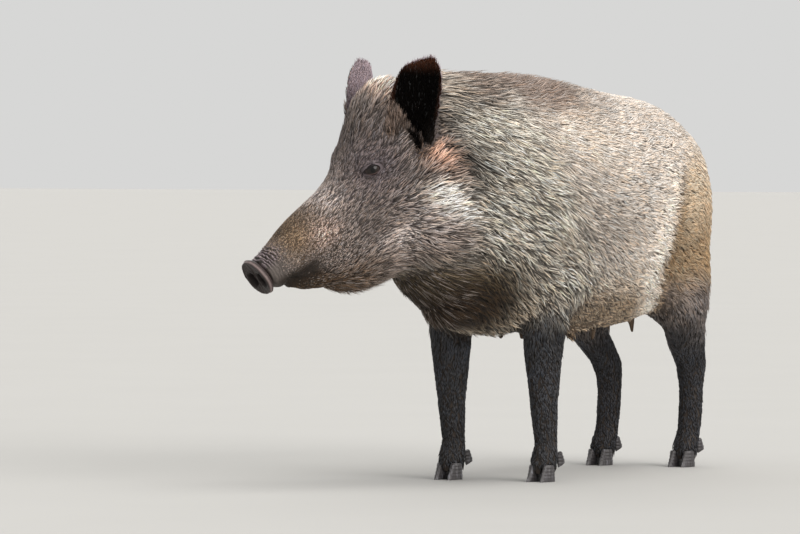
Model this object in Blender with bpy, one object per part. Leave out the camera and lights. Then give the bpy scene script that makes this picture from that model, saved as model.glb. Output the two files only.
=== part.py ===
"""A wild sow, standing square with her head lowered and turned to her right.

A still, life-size model, in metres with +Z up. The sow faces +X and her left side is +Y.
The origin is on the floor, under the middle of the whole animal's bounding box. The solids
reach out to the tips of the coat. Trunk, neck, head, legs and tail are modelled as one body
and parted with thin cuts; ears, eyes, nose pad and claws are solids of their own.
"""

import math
from dataclasses import dataclass

import bmesh
import bpy
from mathutils import Matrix, Vector
from mathutils.bvhtree import BVHTree

GAP = 0.0003  # air left between neighbouring solids
LEFT = 1.0
RIGHT = -1.0

# Driving sizes of the animal, with its coat
WITHERS = 0.815  # height of the back over the fore legs
CHEST_FLOOR = 0.295  # height of the underside between the fore legs
FORE_TRACK = 0.100  # a fore foot's distance from the middle plane
HIND_TRACK = 0.090
NECK_TURN = math.radians(30)  # how far the neck swings the head to the right
NECK_LENGTH = 0.31  # from the withers' front to the nape, along the bend
HEAD_DROP = math.radians(36)  # slope of the muzzle below the level
NOSE_REACH = 0.307  # from the nape forward to the nose, measured level
NOSE_HEIGHT = 0.416

# Ears, eyes, nose pad and claws
EAR_LENGTH = 0.192
EAR_WIDTH = 0.045  # half its width, at the widest
EAR_WALL = 0.008
EAR_ROOT = (0.014, 0.076, 0.652)  # ahead of the nape, out from the middle plane, up
EAR_FACING = math.radians(60)  # how far its hollow faces away from straight ahead
EAR_CURL = 1.15
EAR_SPLAY = math.radians(12)
EAR_LEAN = math.radians(5)
EYE_BACK = 0.302  # behind the nose
EYE_UP = 0.040  # above the head's axis
EYE_DEPTH = 0.009  # its centre under the face
EYE_RADIUS = 0.014
NOSE_HALF_HEIGHT = 0.038
NOSE_HALF_WIDTH = 0.041
NOSTRIL_PLACE = (-0.004, 0.0155, 0.002)  # back, out to the side, up
NOSTRIL_SIZE = (0.011, 0.0072, 0.0092)
TEAT_PAIRS = 5
TEAT_TRACK = 0.058
FIRST_TEAT = -0.105
TEAT_STEP = 0.088

# Where the body is parted
LEG_CUT_HEIGHT = {"fore": 0.355, "hind": 0.410}
LEG_CUT_SLOPE = {"fore": math.radians(-6), "hind": math.radians(-26)}
LEG_CUT_BACK = {"fore": -0.110, "hind": -0.200}
LEG_CUT_AHEAD = {"fore": 0.105, "hind": 0.140}
LEG_CUT_INSIDE = 0.022  # half the strip of belly left between the legs
HEAD_CUT_STATION = NECK_LENGTH - 0.050
HEAD_CUT_TILT = math.radians(4)
NECK_CUT_STATION = 0.030
NECK_CUT_TILT = math.radians(-14)
CUT_MIDDLE = 0.580  # height about which the head's and neck's cuts are tilted

# How fine the one-piece body is made
VOXEL = 0.007
BLEND_ROUNDS = 12
BODY_TRIANGLES = 3900
HEAD_FINENESS = 0.001

COAT_GREY = (0.50, 0.45, 0.38, 1.0)
SNOUT_BROWN = (0.07, 0.055, 0.05, 1.0)
HORN_GREY = (0.16, 0.15, 0.14, 1.0)
EYE_BROWN = (0.02, 0.012, 0.008, 1.0)
SKIN_GREY = (0.22, 0.18, 0.17, 1.0)


@dataclass(frozen=True)
class Ring:
    """One cross-section: its station on the path and how far it reaches from the path."""

    at: float
    top: float
    bottom: float
    half: float  # half the width at the widest
    taper: float = 0.0  # share by which the top is narrower and the bottom wider
    square: float = 1.0  # 1 is an ellipse, less is boxier


@dataclass(frozen=True)
class Slice:
    """One level cross-section of a leg."""

    height: float
    forward: float  # centre, from the foot's own place
    outward: float  # centre, from the foot's own place, away from the middle plane
    long: float  # half the length, front to back
    wide: float  # half the width, side to side


# Heights above the floor along the trunk and neck, from the rump forward
TRUNK = (
    Ring(-0.752, 0.610, 0.520, 0.030),
    Ring(-0.738, 0.675, 0.460, 0.080),
    Ring(-0.705, 0.712, 0.405, 0.120, 0.02),
    Ring(-0.645, 0.746, 0.365, 0.152, 0.00, 0.95),
    Ring(-0.570, 0.768, 0.335, 0.170, 0.00, 0.93),
    Ring(-0.480, 0.784, 0.305, 0.192, -0.02, 0.92),
    Ring(-0.370, 0.788, 0.290, 0.208, -0.03, 0.92),
    Ring(-0.260, 0.802, 0.286, 0.213, -0.01, 0.94),
    Ring(-0.150, 0.812, 0.289, 0.204, 0.03, 0.96),
    Ring(-0.040, WITHERS, CHEST_FLOOR, 0.190, 0.08),
    Ring(0.050, 0.818, 0.297, 0.184, 0.12),
    Ring(0.130, 0.820, 0.303, 0.176, 0.14, 0.95),
    Ring(0.200, 0.820, 0.325, 0.166, 0.14, 0.92),
    Ring(0.270, 0.815, 0.360, 0.150, 0.12, 0.92),
    Ring(0.320, 0.800, 0.415, 0.124, 0.08),
    Ring(0.350, 0.740, 0.500, 0.070),
)

# Distances from the head's axis, from behind the nose pad back to the occiput
HEAD = (
    Ring(0.012, 0.037, -0.036, 0.039, 0.00, 0.90),
    Ring(0.028, 0.032, -0.038, 0.034, 0.00, 0.90),
    Ring(0.055, 0.038, -0.060, 0.037, 0.08, 0.88),
    Ring(0.090, 0.047, -0.084, 0.043, 0.12, 0.85),
    Ring(0.130, 0.053, -0.120, 0.050, 0.14, 0.85),
    Ring(0.170, 0.055, -0.154, 0.059, 0.14, 0.86),
    Ring(0.210, 0.057, -0.178, 0.070, 0.12, 0.88),
    Ring(0.250, 0.066, -0.192, 0.082, 0.12, 0.90),
    Ring(0.290, 0.086, -0.198, 0.096, 0.12, 0.92),
    Ring(0.330, 0.118, -0.196, 0.108, 0.12, 0.95),
    Ring(0.370, 0.149, -0.190, 0.116, 0.14),
    Ring(0.410, 0.163, -0.175, 0.118, 0.16),
    Ring(0.450, 0.158, -0.145, 0.110, 0.16),
    Ring(0.490, 0.115, -0.100, 0.085),
    Ring(0.515, 0.060, -0.040, 0.030),
)

FORE_LEG = (
    Slice(0.520, -0.015, 0.020, 0.090, 0.055),
    Slice(0.430, -0.020, 0.012, 0.078, 0.055),
    Slice(0.360, -0.006, 0.004, 0.062, 0.048),
    Slice(0.300, 0.002, 0.000, 0.049, 0.042),
    Slice(0.250, 0.004, 0.000, 0.040, 0.037),
    Slice(0.200, 0.002, 0.000, 0.034, 0.032),
    Slice(0.160, 0.002, 0.000, 0.029, 0.028),
    Slice(0.110, -0.003, 0.000, 0.026, 0.025),
    Slice(0.080, -0.006, 0.000, 0.023, 0.023),
    Slice(0.058, -0.003, 0.000, 0.025, 0.026),
    Slice(0.034, 0.004, 0.000, 0.027, 0.027),
    Slice(0.012, 0.002, 0.000, 0.026, 0.024),
)

HIND_LEG = (
    Slice(0.600, 0.070, -0.005, 0.080, 0.045),
    Slice(0.500, 0.062, 0.008, 0.110, 0.056),
    Slice(0.420, 0.062, 0.016, 0.104, 0.058),
    Slice(0.350, 0.066, 0.024, 0.078, 0.052),
    Slice(0.300, 0.045, 0.020, 0.058, 0.042),
    Slice(0.250, 0.008, 0.010, 0.048, 0.034),
    Slice(0.215, -0.022, 0.003, 0.040, 0.029),
    Slice(0.170, -0.030, 0.000, 0.029, 0.025),
    Slice(0.110, -0.026, 0.000, 0.026, 0.024),
    Slice(0.075, -0.018, 0.000, 0.025, 0.024),
    Slice(0.056, -0.010, 0.000, 0.026, 0.026),
    Slice(0.034, 0.000, 0.000, 0.027, 0.027),
    Slice(0.012, -0.002, 0.000, 0.026, 0.024),
)


# The tail, hanging clear of the haunches
TAIL = (
    Slice(0.705, -0.682, 0.0, 0.026, 0.022),
    Slice(0.680, -0.722, 0.0, 0.024, 0.020),
    Slice(0.640, -0.756, 0.0, 0.018, 0.016),
    Slice(0.560, -0.776, 0.0, 0.012, 0.012),
    Slice(0.500, -0.778, 0.0, 0.012, 0.014),
    Slice(0.450, -0.777, 0.0, 0.013, 0.018),
    Slice(0.420, -0.776, 0.0, 0.005, 0.007),
)


@dataclass(frozen=True)
class Leg:
    """Where one leg stands: its name, its shape and its foot's place."""

    name: str
    slices: tuple
    side: float
    forward: float
    track: float

    def point(self, forward, outward, height):
        """A point given from this leg's own foot."""
        return Vector((self.forward + forward, self.side * (self.track + outward), height))


LEGS = (
    Leg("fore_left", FORE_LEG, LEFT, 0.0, FORE_TRACK),
    Leg("fore_right", FORE_LEG, RIGHT, 0.022, FORE_TRACK),
    Leg("hind_left", HIND_LEG, LEFT, -0.632, HIND_TRACK),
    Leg("hind_right", HIND_LEG, RIGHT, -0.605, HIND_TRACK),
)


def spine_point(station):
    """The spine's place and heading at a station: straight over the trunk, bent in the neck."""
    x, y, steps = min(station, 0.0), 0.0, 40
    travelled = max(station, 0.0)
    for step in range(steps):
        heading = neck_heading((step + 0.5) / steps * travelled)
        x += math.cos(heading) * travelled / steps
        y += math.sin(heading) * travelled / steps
    return Vector((x, y, 0.0)), neck_heading(station)


def neck_heading(station):
    """The spine's heading in the level plane, easing from straight ahead to the turned head."""
    share = min(max(station / NECK_LENGTH, 0.0), 1.0)
    return -NECK_TURN * share * share * (3.0 - 2.0 * share)


def spine_frame(station):
    """The upright cross-section plane at a station of the trunk or neck."""
    place, heading = spine_point(station)
    frame = Matrix.Rotation(heading, 4, "Z")
    frame.translation = place
    return frame


def head_frame():
    """The head's own axes: x from the nose back to the occiput, y to its right, z up."""
    nape, heading = spine_point(NECK_LENGTH)
    ahead = Vector((math.cos(heading), math.sin(heading), 0.0))
    frame = Matrix.Rotation(heading + math.pi, 4, "Z") @ Matrix.Rotation(-HEAD_DROP, 4, "Y")
    frame.translation = nape + ahead * NOSE_REACH + Vector((0.0, 0.0, NOSE_HEIGHT))
    return frame


HEAD_FRAME = head_frame()


def on_head(back, side, up):
    """A point of the head: back from the nose, out to the left (+) or right (-), and up."""
    return HEAD_FRAME @ Vector((back, -side, up))


def ear_frame(side):
    """The ear's own axes: x across its hollow, y towards its back, z up to its tip."""
    nape = spine_frame(NECK_LENGTH)
    root = nape @ Vector((EAR_ROOT[0], side * EAR_ROOT[1], EAR_ROOT[2]))
    splay = Matrix.Rotation(-side * EAR_SPLAY, 4, "X")
    lean = Matrix.Rotation(-EAR_LEAN, 4, "Y")
    facing = Matrix.Rotation(math.pi / 2 + side * EAR_FACING, 4, "Z")
    frame = Matrix.Rotation(neck_heading(NECK_LENGTH), 4, "Z") @ splay @ lean @ facing
    frame.translation = root
    return frame


EAR_FRAME = {LEFT: ear_frame(LEFT), RIGHT: ear_frame(RIGHT)}


def smooth_between(rows, position, key):
    """The rows' values at a position, on a smooth curve through them (Catmull-Rom)."""
    places = [getattr(row, key) for row in rows]
    names = [name for name in rows[0].__dataclass_fields__ if name != key]
    rising = places[-1] > places[0]
    index = 0
    while index < len(rows) - 2 and (places[index + 1] < position) == rising:
        index += 1
    near, far = rows[index], rows[index + 1]
    before, after = rows[max(index - 1, 0)], rows[min(index + 2, len(rows) - 1)]
    span = getattr(far, key) - getattr(near, key)
    t = (position - getattr(near, key)) / span
    values = {key: position}
    for name in names:
        a, b = getattr(near, name), getattr(far, name)
        slope_a = (b - getattr(before, name)) / (getattr(far, key) - getattr(before, key)) * span
        slope_b = (getattr(after, name) - a) / (getattr(after, key) - getattr(near, key)) * span
        values[name] = (
            (2 * t**3 - 3 * t**2 + 1) * a
            + (t**3 - 2 * t**2 + t) * slope_a
            + (3 * t**2 - 2 * t**3) * b
            + (t**3 - t**2) * slope_b
        )
    return type(rows[0])(**values)


def power(value, exponent):
    """A sine or cosine raised to a power with its sign kept."""
    return math.copysign(abs(value) ** exponent, value)


def ring_points(ring, around):
    """A Ring's outline in its own plane, as (side, up) pairs."""
    middle, reach = (ring.top + ring.bottom) / 2, (ring.top - ring.bottom) / 2
    points = []
    for step in range(around):
        angle = 2 * math.pi * step / around
        up = power(math.sin(angle), ring.square)
        side = power(math.cos(angle), ring.square) * (1.0 - ring.taper * up)
        points.append((ring.half * side, middle + reach * up))
    return points


def skin_over(outlines):
    """A closed mesh over a row of outlines with equal point counts, capped at both ends."""
    shape = bmesh.new()
    loops = [[shape.verts.new(point) for point in outline] for outline in outlines]
    for here, there in zip(loops, loops[1:]):
        for index in range(len(here)):
            after = (index + 1) % len(here)
            shape.faces.new((here[index], here[after], there[after], there[index]))
    for end in (loops[0], loops[-1]):
        centre = shape.verts.new(sum((vert.co for vert in end), Vector()) / len(end))
        for index in range(len(end)):
            shape.faces.new((end[index], end[(index + 1) % len(end)], centre))
    bmesh.ops.triangulate(shape, faces=shape.faces)
    bmesh.ops.recalc_face_normals(shape, faces=shape.faces)
    return shape


def stations(rows, key, step):
    """Evenly spread positions from the first row to the last."""
    first, last = getattr(rows[0], key), getattr(rows[-1], key)
    count = max(2, round(abs(last - first) / step))
    return [first + (last - first) * index / count for index in range(count + 1)]


def trunk_and_neck():
    """The barrel from the rump to the nape."""
    outlines = []
    for station in stations(TRUNK, "at", 0.02):
        ring, frame = smooth_between(TRUNK, station, "at"), spine_frame(station)
        outlines.append([frame @ Vector((0.0, side, up)) for side, up in ring_points(ring, 48)])
    return skin_over(outlines)


def head_and_muzzle():
    """The head from behind the nose pad to the occiput."""
    outlines = []
    for station in stations(HEAD, "at", 0.008):
        ring = smooth_between(HEAD, station, "at")
        outlines.append([on_head(station, side, up) for side, up in ring_points(ring, 40)])
    return skin_over(outlines)


def leg_column(leg):
    """One leg from inside the trunk down to its foot."""
    outlines = []
    for height in stations(leg.slices, "height", 0.012):
        row = smooth_between(leg.slices, height, "height")
        outline = []
        for step in range(24):
            angle = 2 * math.pi * step / 24
            ahead = row.forward + row.long * math.cos(angle)
            outline.append(leg.point(ahead, row.outward + row.wide * math.sin(angle), height))
        outlines.append(outline)
    return skin_over(outlines)


def ball(centre, radii, tilt=Matrix.Identity(4), segments=32):
    """An ellipsoid with the given half sizes along its tilted axes."""
    shape = bmesh.new()
    stretch = Matrix.Diagonal((*radii, 1.0))
    place = Matrix.Translation(centre) @ tilt @ stretch
    bmesh.ops.create_uvsphere(
        shape, u_segments=segments, v_segments=segments // 2, radius=1.0, matrix=place
    )
    bmesh.ops.triangulate(shape, faces=shape.faces)
    return shape


def muscles():
    """Shoulders, haunches, cheeks, brows, jaws, lips and chin that swell out of the plain body."""
    tilt = HEAD_FRAME.to_3x3().to_4x4()
    chin = ball(on_head(0.075, 0.0, -0.058), (0.034, 0.022, 0.024), tilt)
    swellings = [chin]
    for side in (LEFT, RIGHT):
        shoulder = ball(Vector((-0.010, side * 0.120, 0.520)), (0.125, 0.072, 0.190))
        haunch = ball(Vector((-0.575, side * 0.078, 0.475)), (0.140, 0.073, 0.175))
        cheek = ball(on_head(0.345, side * 0.052, -0.055), (0.085, 0.062, 0.075), tilt)
        brow = ball(on_head(0.318, side * 0.046, 0.062), (0.040, 0.026, 0.024), tilt)
        jaw = ball(on_head(0.300, side * 0.040, -0.100), (0.110, 0.048, 0.060), tilt)
        lip = ball(on_head(0.075, side * 0.024, -0.022), (0.055, 0.017, 0.020), tilt)
        swellings += [shoulder, haunch, cheek, brow, jaw, lip]
    return swellings


def teats():
    """The pairs of teats along the belly."""
    cones = []
    for pair in range(TEAT_PAIRS):
        forward = FIRST_TEAT - TEAT_STEP * pair
        belly = smooth_between(TRUNK, forward, "at").bottom
        for side in (LEFT, RIGHT):
            place = Matrix.Translation((forward, side * TEAT_TRACK, belly + 0.006))
            shape = bmesh.new()
            bmesh.ops.create_cone(
                shape, cap_ends=True, segments=8, radius1=0.005, radius2=0.009, depth=0.036, matrix=place
            )
            cones.append(shape)
    return cones


def coloured(name, colour, roughness):
    """A plain Principled material."""
    material = bpy.data.materials.new(name)
    material.use_nodes = True
    shader = material.node_tree.nodes["Principled BSDF"]
    shader.inputs["Base Color"].default_value = colour
    shader.inputs["Roughness"].default_value = roughness
    shader.inputs["Metallic"].default_value = 0.0
    return material


def to_object(shape, name, material):
    """A scene object that holds a bmesh, which is freed."""
    mesh = bpy.data.meshes.new(name)
    shape.to_mesh(mesh)
    shape.free()
    piece = bpy.data.objects.new(name, mesh)
    bpy.context.scene.collection.objects.link(piece)
    mesh.materials.append(material)
    return piece


def bake(piece):
    """The piece's modifiers applied to its own mesh."""
    graph = bpy.context.evaluated_depsgraph_get()
    mesh = bpy.data.meshes.new_from_object(piece.evaluated_get(graph))
    piece.modifiers.clear()
    old, piece.data = piece.data, mesh
    bpy.data.meshes.remove(old)


def boolean(piece, cutter, operation):
    """One exact Boolean on the piece, applied at once."""
    step = piece.modifiers.new("cut", "BOOLEAN")
    step.operation = operation
    step.solver = "EXACT"
    step.object = cutter
    bake(piece)


def copy_of(piece, name):
    """A second object with its own copy of the mesh."""
    twin = bpy.data.objects.new(name, piece.data.copy())
    bpy.context.scene.collection.objects.link(twin)
    return twin


def swollen(piece, by):
    """A helper copy of the piece with every face moved outwards by the same distance."""
    twin = copy_of(piece, piece.name + "_swollen")
    shape = bmesh.new()
    shape.from_mesh(twin.data)
    bmesh.ops.remove_doubles(shape, verts=shape.verts, dist=1e-6)
    shape.normal_update()
    moves = {}
    for vert in shape.verts:
        normal = vert.normal.copy()
        tightest = min(max(normal.dot(face.normal), 0.3) for face in vert.link_faces)
        moves[vert] = normal * (by / tightest)
    for vert, move in moves.items():
        vert.co += move
    shape.to_mesh(twin.data)
    shape.free()
    return twin


def keep_largest(piece):
    """The piece without the loose scraps that a cut left, so that it is one body."""
    shape = bmesh.new()
    shape.from_mesh(piece.data)
    bodies, seen = [], set()
    for start in shape.verts:
        if start in seen:
            continue
        island, front = set(), [start]
        while front:
            vert = front.pop()
            if vert not in island:
                island.add(vert)
                front += [edge.other_vert(vert) for edge in vert.link_edges]
        seen |= island
        bodies.append(island)
    largest = max(bodies, key=len)
    scraps = [vert for vert in shape.verts if vert not in largest]
    bmesh.ops.delete(shape, geom=scraps, context="VERTS")
    shape.to_mesh(piece.data)
    shape.free()


def discard(piece):
    """The piece and its mesh removed."""
    mesh = piece.data
    bpy.data.objects.remove(piece)
    bpy.data.meshes.remove(mesh)


def merged(shapes):
    """Several closed shapes in one bmesh, still overlapping."""
    whole = bmesh.new()
    for shape in shapes:
        mesh = bpy.data.meshes.new("joined")
        shape.to_mesh(mesh)
        shape.free()
        whole.from_mesh(mesh)
        bpy.data.meshes.remove(mesh)
    return whole


def blend_weight(point):
    """How strongly a point of the body is smoothed: not at all on the muzzle and low on the legs."""
    back = (HEAD_FRAME.inverted() @ point).x
    near_head = point.x > 0.2
    muzzle = min(max((back - 0.10) / 0.12, 0.0), 1.0) if near_head else 1.0
    low = min(max((point.z - 0.24) / 0.10, 0.0), 1.0)
    return min(muzzle, low)


def one_body(material):
    """Trunk, neck, head and legs run together into one smooth closed mesh."""
    shapes = [trunk_and_neck(), head_and_muzzle(), *map(leg_column, LEGS), *muscles()]
    body = to_object(merged(shapes), "body", material)
    remesh = body.modifiers.new("one skin", "REMESH")
    remesh.mode = "VOXEL"
    remesh.voxel_size = VOXEL
    bake(body)
    soften(body)
    thin_out(body)
    for cone in teats():
        teat = to_object(cone, "teat", material)
        boolean(body, teat, "UNION")
        discard(teat)
    return body


def soften(body):
    """The creases where limbs and muscles join smoothed away."""
    shape = bmesh.new()
    shape.from_mesh(body.data)
    weights = {vert: blend_weight(vert.co) for vert in shape.verts}
    for turn in range(BLEND_ROUNDS):
        share = turn / BLEND_ROUNDS
        moved = [vert for vert, weight in weights.items() if weight > share]
        bmesh.ops.smooth_vert(
            shape, verts=moved, factor=0.5, use_axis_x=True, use_axis_y=True, use_axis_z=True
        )
    shape.to_mesh(body.data)
    shape.free()


def triangulate(piece):
    """Every face of the piece cut into triangles, so that all its copies bend alike."""
    shape = bmesh.new()
    shape.from_mesh(piece.data)
    bmesh.ops.triangulate(shape, faces=shape.faces)
    shape.to_mesh(piece.data)
    shape.free()


def thin_out(body):
    """The body reduced to its share of triangles, with the head kept finer than the trunk."""
    group = body.vertex_groups.new(name="coarse")
    for vertex in body.data.vertices:
        on_the_head = vertex.co.x > 0.2 and (HEAD_FRAME.inverted() @ vertex.co).x < 0.42
        group.add([vertex.index], 0.25 if on_the_head else 1.0, "REPLACE")
    body.data.calc_loop_triangles()
    thin = body.modifiers.new("thin out", "DECIMATE")
    thin.ratio = BODY_TRIANGLES / len(body.data.loop_triangles)
    thin.vertex_group = group.name
    thin.vertex_group_factor = HEAD_FINENESS
    bake(body)
    body.vertex_groups.clear()
    triangulate(body)


def box(low, high, frame=Matrix.Identity(4)):
    """A closed box between two corners given in a frame."""
    shape = bmesh.new()
    size, middle = high - low, (high + low) / 2
    place = frame @ Matrix.Translation(middle) @ Matrix.Diagonal((*size, 1.0))
    bmesh.ops.create_cube(shape, size=1.0, matrix=place)
    return shape


def leg_region(leg):
    """The space that belongs to a leg: below its slanted line, on its own side."""
    kind = leg.name.split("_")[0]
    place = Matrix.Translation((leg.forward, 0.0, LEG_CUT_HEIGHT[kind]))
    frame = place @ Matrix.Rotation(LEG_CUT_SLOPE[kind], 4, "Y")
    near, far = sorted((leg.side * LEG_CUT_INSIDE, leg.side * 0.32))
    low = Vector((LEG_CUT_BACK[kind], near, -0.60))
    high = Vector((LEG_CUT_AHEAD[kind], far, 0.0))
    return low, high, frame


def ahead_of(station, tilt):
    """All the space ahead of an upright plane across the spine, tilted fore or aft."""
    frame = spine_frame(station) @ Matrix.Translation((0.0, 0.0, CUT_MIDDLE))
    return Vector((0.0, -1.0, -1.0)), Vector((1.0, 1.0, 1.0)), frame @ Matrix.Rotation(tilt, 4, "Y")


def regions():
    """Each named part's space, as a box, in the order in which the parts are cut off."""
    spaces = {"leg_" + leg.name: leg_region(leg) for leg in LEGS}
    spaces["head"] = ahead_of(HEAD_CUT_STATION, HEAD_CUT_TILT)
    spaces["neck"] = ahead_of(NECK_CUT_STATION, NECK_CUT_TILT)
    return spaces


def part_body(body):
    """The body cut into trunk, neck, head and legs, with thin gaps between them."""
    grown = Vector((2 * GAP, 2 * GAP, 2 * GAP))
    parts = {}
    for name, (low, high, frame) in regions().items():
        inner = to_object(box(low, high, frame), "inner", body.data.materials[0])
        outer = to_object(box(low - grown, high + grown, frame), "outer", body.data.materials[0])
        parts[name] = copy_of(body, name)
        boolean(parts[name], inner, "INTERSECT")
        boolean(body, outer, "DIFFERENCE")
        discard(inner)
        discard(outer)
    body.name = "trunk"
    parts["trunk"] = body
    return parts


def cut_free(piece, neighbour):
    """The piece without what its neighbour fills, and a thin gap between them."""
    space = swollen(neighbour, GAP)
    boolean(piece, space, "DIFFERENCE")
    discard(space)


def ear_point(side, along, across):
    """A point of the ear's middle surface: along is 0 at the root, across runs from -1 to 1."""
    oval = math.sqrt(max(1.0 - ((along - 0.46) / 0.56) ** 2, 0.0))
    width = EAR_WIDTH * max(oval, 0.12) * (1.0 - 0.25 * max(along, 0.0) ** 6)
    curl = across * EAR_CURL * (1.0 - 0.45 * along)
    forwards = 0.75 * width * (1.0 - math.cos(curl)) + 0.020 * along * (1.0 - along)
    skew = 0.010 * side * along * along
    return EAR_FRAME[side] @ Vector((width * across + skew, -forwards, EAR_LENGTH * along))


def ear(side, material):
    """One cupped, leaf-shaped ear, standing up and out from behind the brow."""
    shape = bmesh.new()
    rows, columns = 9, 6
    grid = []
    for row in range(rows + 1):
        along = -0.09 + 1.10 * row / rows
        line = [ear_point(side, along, 2 * column / columns - 1) for column in range(columns + 1)]
        grid.append([shape.verts.new(point) for point in line])
    for here, there in zip(grid, grid[1:]):
        for index in range(columns):
            shape.faces.new((here[index], here[index + 1], there[index + 1], there[index]))
    piece = to_object(shape, "ear_left" if side == LEFT else "ear_right", material)
    wall = piece.modifiers.new("wall", "SOLIDIFY")
    wall.thickness = EAR_WALL
    wall.offset = 0.0
    bake(piece)
    shape = bmesh.new()
    shape.from_mesh(piece.data)
    bmesh.ops.triangulate(shape, faces=shape.faces)
    bmesh.ops.recalc_face_normals(shape, faces=shape.faces)
    shape.to_mesh(piece.data)
    shape.free()
    return piece


def eye(side, head, material):
    """One eyeball, most of it hidden in its socket, set as deep as the face's side asks."""
    shape = bmesh.new()
    shape.from_mesh(head.data)
    surface = BVHTree.FromBMesh(shape)
    shape.free()
    outside = on_head(EYE_BACK, side * 0.3, EYE_UP)
    inward = (on_head(EYE_BACK, 0.0, EYE_UP) - outside).normalized()
    face = surface.ray_cast(outside, inward)[0]
    shape = ball(face + inward * EYE_DEPTH, (EYE_RADIUS,) * 3, segments=16)
    return to_object(shape, "eye_left" if side == LEFT else "eye_right", material)


def nose_pad(material):
    """The flat disc of the snout, with its rim and two nostrils."""
    outlines = []
    for back, share in ((0.0117, 0.90), (0.008, 1.0), (0.004, 1.03), (0.0, 1.0), (-0.003, 0.92)):
        height, width = NOSE_HALF_HEIGHT * share, NOSE_HALF_WIDTH * share
        ring = Ring(back, height, -height, width, 0.06, 0.92)
        outlines.append([on_head(back, side, up) for side, up in ring_points(ring, 24)])
    pad = to_object(skin_over(outlines), "nose_pad", material)
    tilt = HEAD_FRAME.to_3x3().to_4x4()
    back, apart, up = NOSTRIL_PLACE
    for side in (LEFT, RIGHT):
        hole = to_object(ball(on_head(back, side * apart, up), NOSTRIL_SIZE, tilt, 12), "hole", material)
        boolean(pad, hole, "DIFFERENCE")
        discard(hole)
    return pad


@dataclass(frozen=True)
class Hoof:
    """The size of one claw and its place behind or ahead of the foot's own point."""

    length: float
    width: float
    height: float
    forward: float
    outward: float
    raised: float
    tilt: float


CLAW = Hoof(0.056, 0.025, 0.034, 0.012, 0.015, 0.0, 0.0)
DEWCLAW = Hoof(0.026, 0.015, 0.026, -0.034, 0.021, 0.034, math.radians(28))


def claw(leg, hoof, inward, name, material):
    """One claw of a foot: half-oval, pointed at the toe, and narrower towards the top."""
    place = Matrix.Translation(leg.point(hoof.forward, inward * hoof.outward, hoof.raised))
    place = place @ Matrix.Rotation(hoof.tilt, 4, "Y")
    outlines = []
    for level in (0.0, 0.15, 1.0):
        toe = hoof.length * (0.62 - 0.34 * level)
        heel = hoof.length * (0.38 - 0.06 * level)
        half = hoof.width / 2 * (1.0 - 0.10 * level if level else 0.94)
        outline = []
        for step in range(10):
            angle = 2 * math.pi * step / 10
            ahead = math.cos(angle)
            pinch = 1.0 - 0.55 * max(ahead, 0.0) ** 2
            reach = toe if ahead > 0 else heel
            side = half * math.sin(angle) * pinch
            outline.append(place @ Vector((ahead * reach, side, hoof.height * level)))
        outlines.append(outline)
    return to_object(skin_over(outlines), name, material)


def claws_of(leg, flesh, material):
    """The two claws and two dewclaws of one foot, let into the end of its leg."""
    for inward, which in ((1.0, "outer"), (-1.0, "inner")):
        for kind, hoof in (("claw", CLAW), ("dewclaw", DEWCLAW)):
            piece = claw(leg, hoof, inward, f"{kind}_{leg.name}_{which}", material)
            cut_free(flesh, piece)


def tail(material):
    """The tail hanging down behind, with the tuft at its end."""
    outlines = []
    for height in stations(TAIL, "height", 0.025):
        row = smooth_between(TAIL, height, "height")
        outline = []
        for step in range(8):
            angle = 2 * math.pi * step / 8
            ahead = row.forward + row.long * math.cos(angle)
            outline.append(Vector((ahead, row.wide * math.sin(angle), height)))
        outlines.append(outline)
    return to_object(skin_over(outlines), "tail", material)


def stand_on_origin():
    """Every piece shifted so that the origin is on the floor, under the middle of the box."""
    pieces = [piece for piece in bpy.data.objects if piece.type == "MESH"]
    corners = [vertex.co for piece in pieces for vertex in piece.data.vertices]
    low = Vector([min(corner[axis] for corner in corners) for axis in range(3)])
    high = Vector([max(corner[axis] for corner in corners) for axis in range(3)])
    shift = Matrix.Translation((-(low.x + high.x) / 2, -(low.y + high.y) / 2, -low.z))
    for piece in pieces:
        piece.data.transform(shift)
        piece.data.shade_smooth()
        piece.data.set_sharp_from_angle(angle=math.radians(50))


def main():
    """The whole sow, built part by part."""
    for old in list(bpy.data.objects):
        bpy.data.objects.remove(old)
    coat = coloured("coat", COAT_GREY, 0.8)
    bare_skin = coloured("bare_skin", SKIN_GREY, 0.7)
    snout = coloured("snout", SNOUT_BROWN, 0.45)
    horn = coloured("horn", HORN_GREY, 0.4)
    cornea = coloured("cornea", EYE_BROWN, 0.08)
    parts = part_body(one_body(coat))
    nose_pad(snout)
    for side in (LEFT, RIGHT):
        cut_free(parts["head"], eye(side, parts["head"], cornea))
        flap = ear(side, bare_skin)
        cut_free(flap, parts["head"])
        cut_free(flap, parts["neck"])
        keep_largest(flap)
    for leg in LEGS:
        claws_of(leg, parts["leg_" + leg.name], horn)
    stump = tail(coat)
    cut_free(stump, parts["trunk"])
    keep_largest(stump)
    stand_on_origin()


main()
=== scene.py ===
"""The looks of a life-size wild sow, standing with her head lowered and turned to her right.

One skin covers her whole body. It lies inside the solids by the depth of her coat, and the coat
is planted on it in tapered tufts that follow the lie of the hair. Eyes, lids, nose pad and claws
are pieces of their own. Lengths are in metres, +X is ahead of her and +Y is her left.
"""

import logging
import math
from collections.abc import Callable
from dataclasses import dataclass, field, fields
from enum import Enum

import bmesh
import bpy
import numpy as np
from mathutils import Matrix, Vector
from mathutils.kdtree import KDTree


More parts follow.
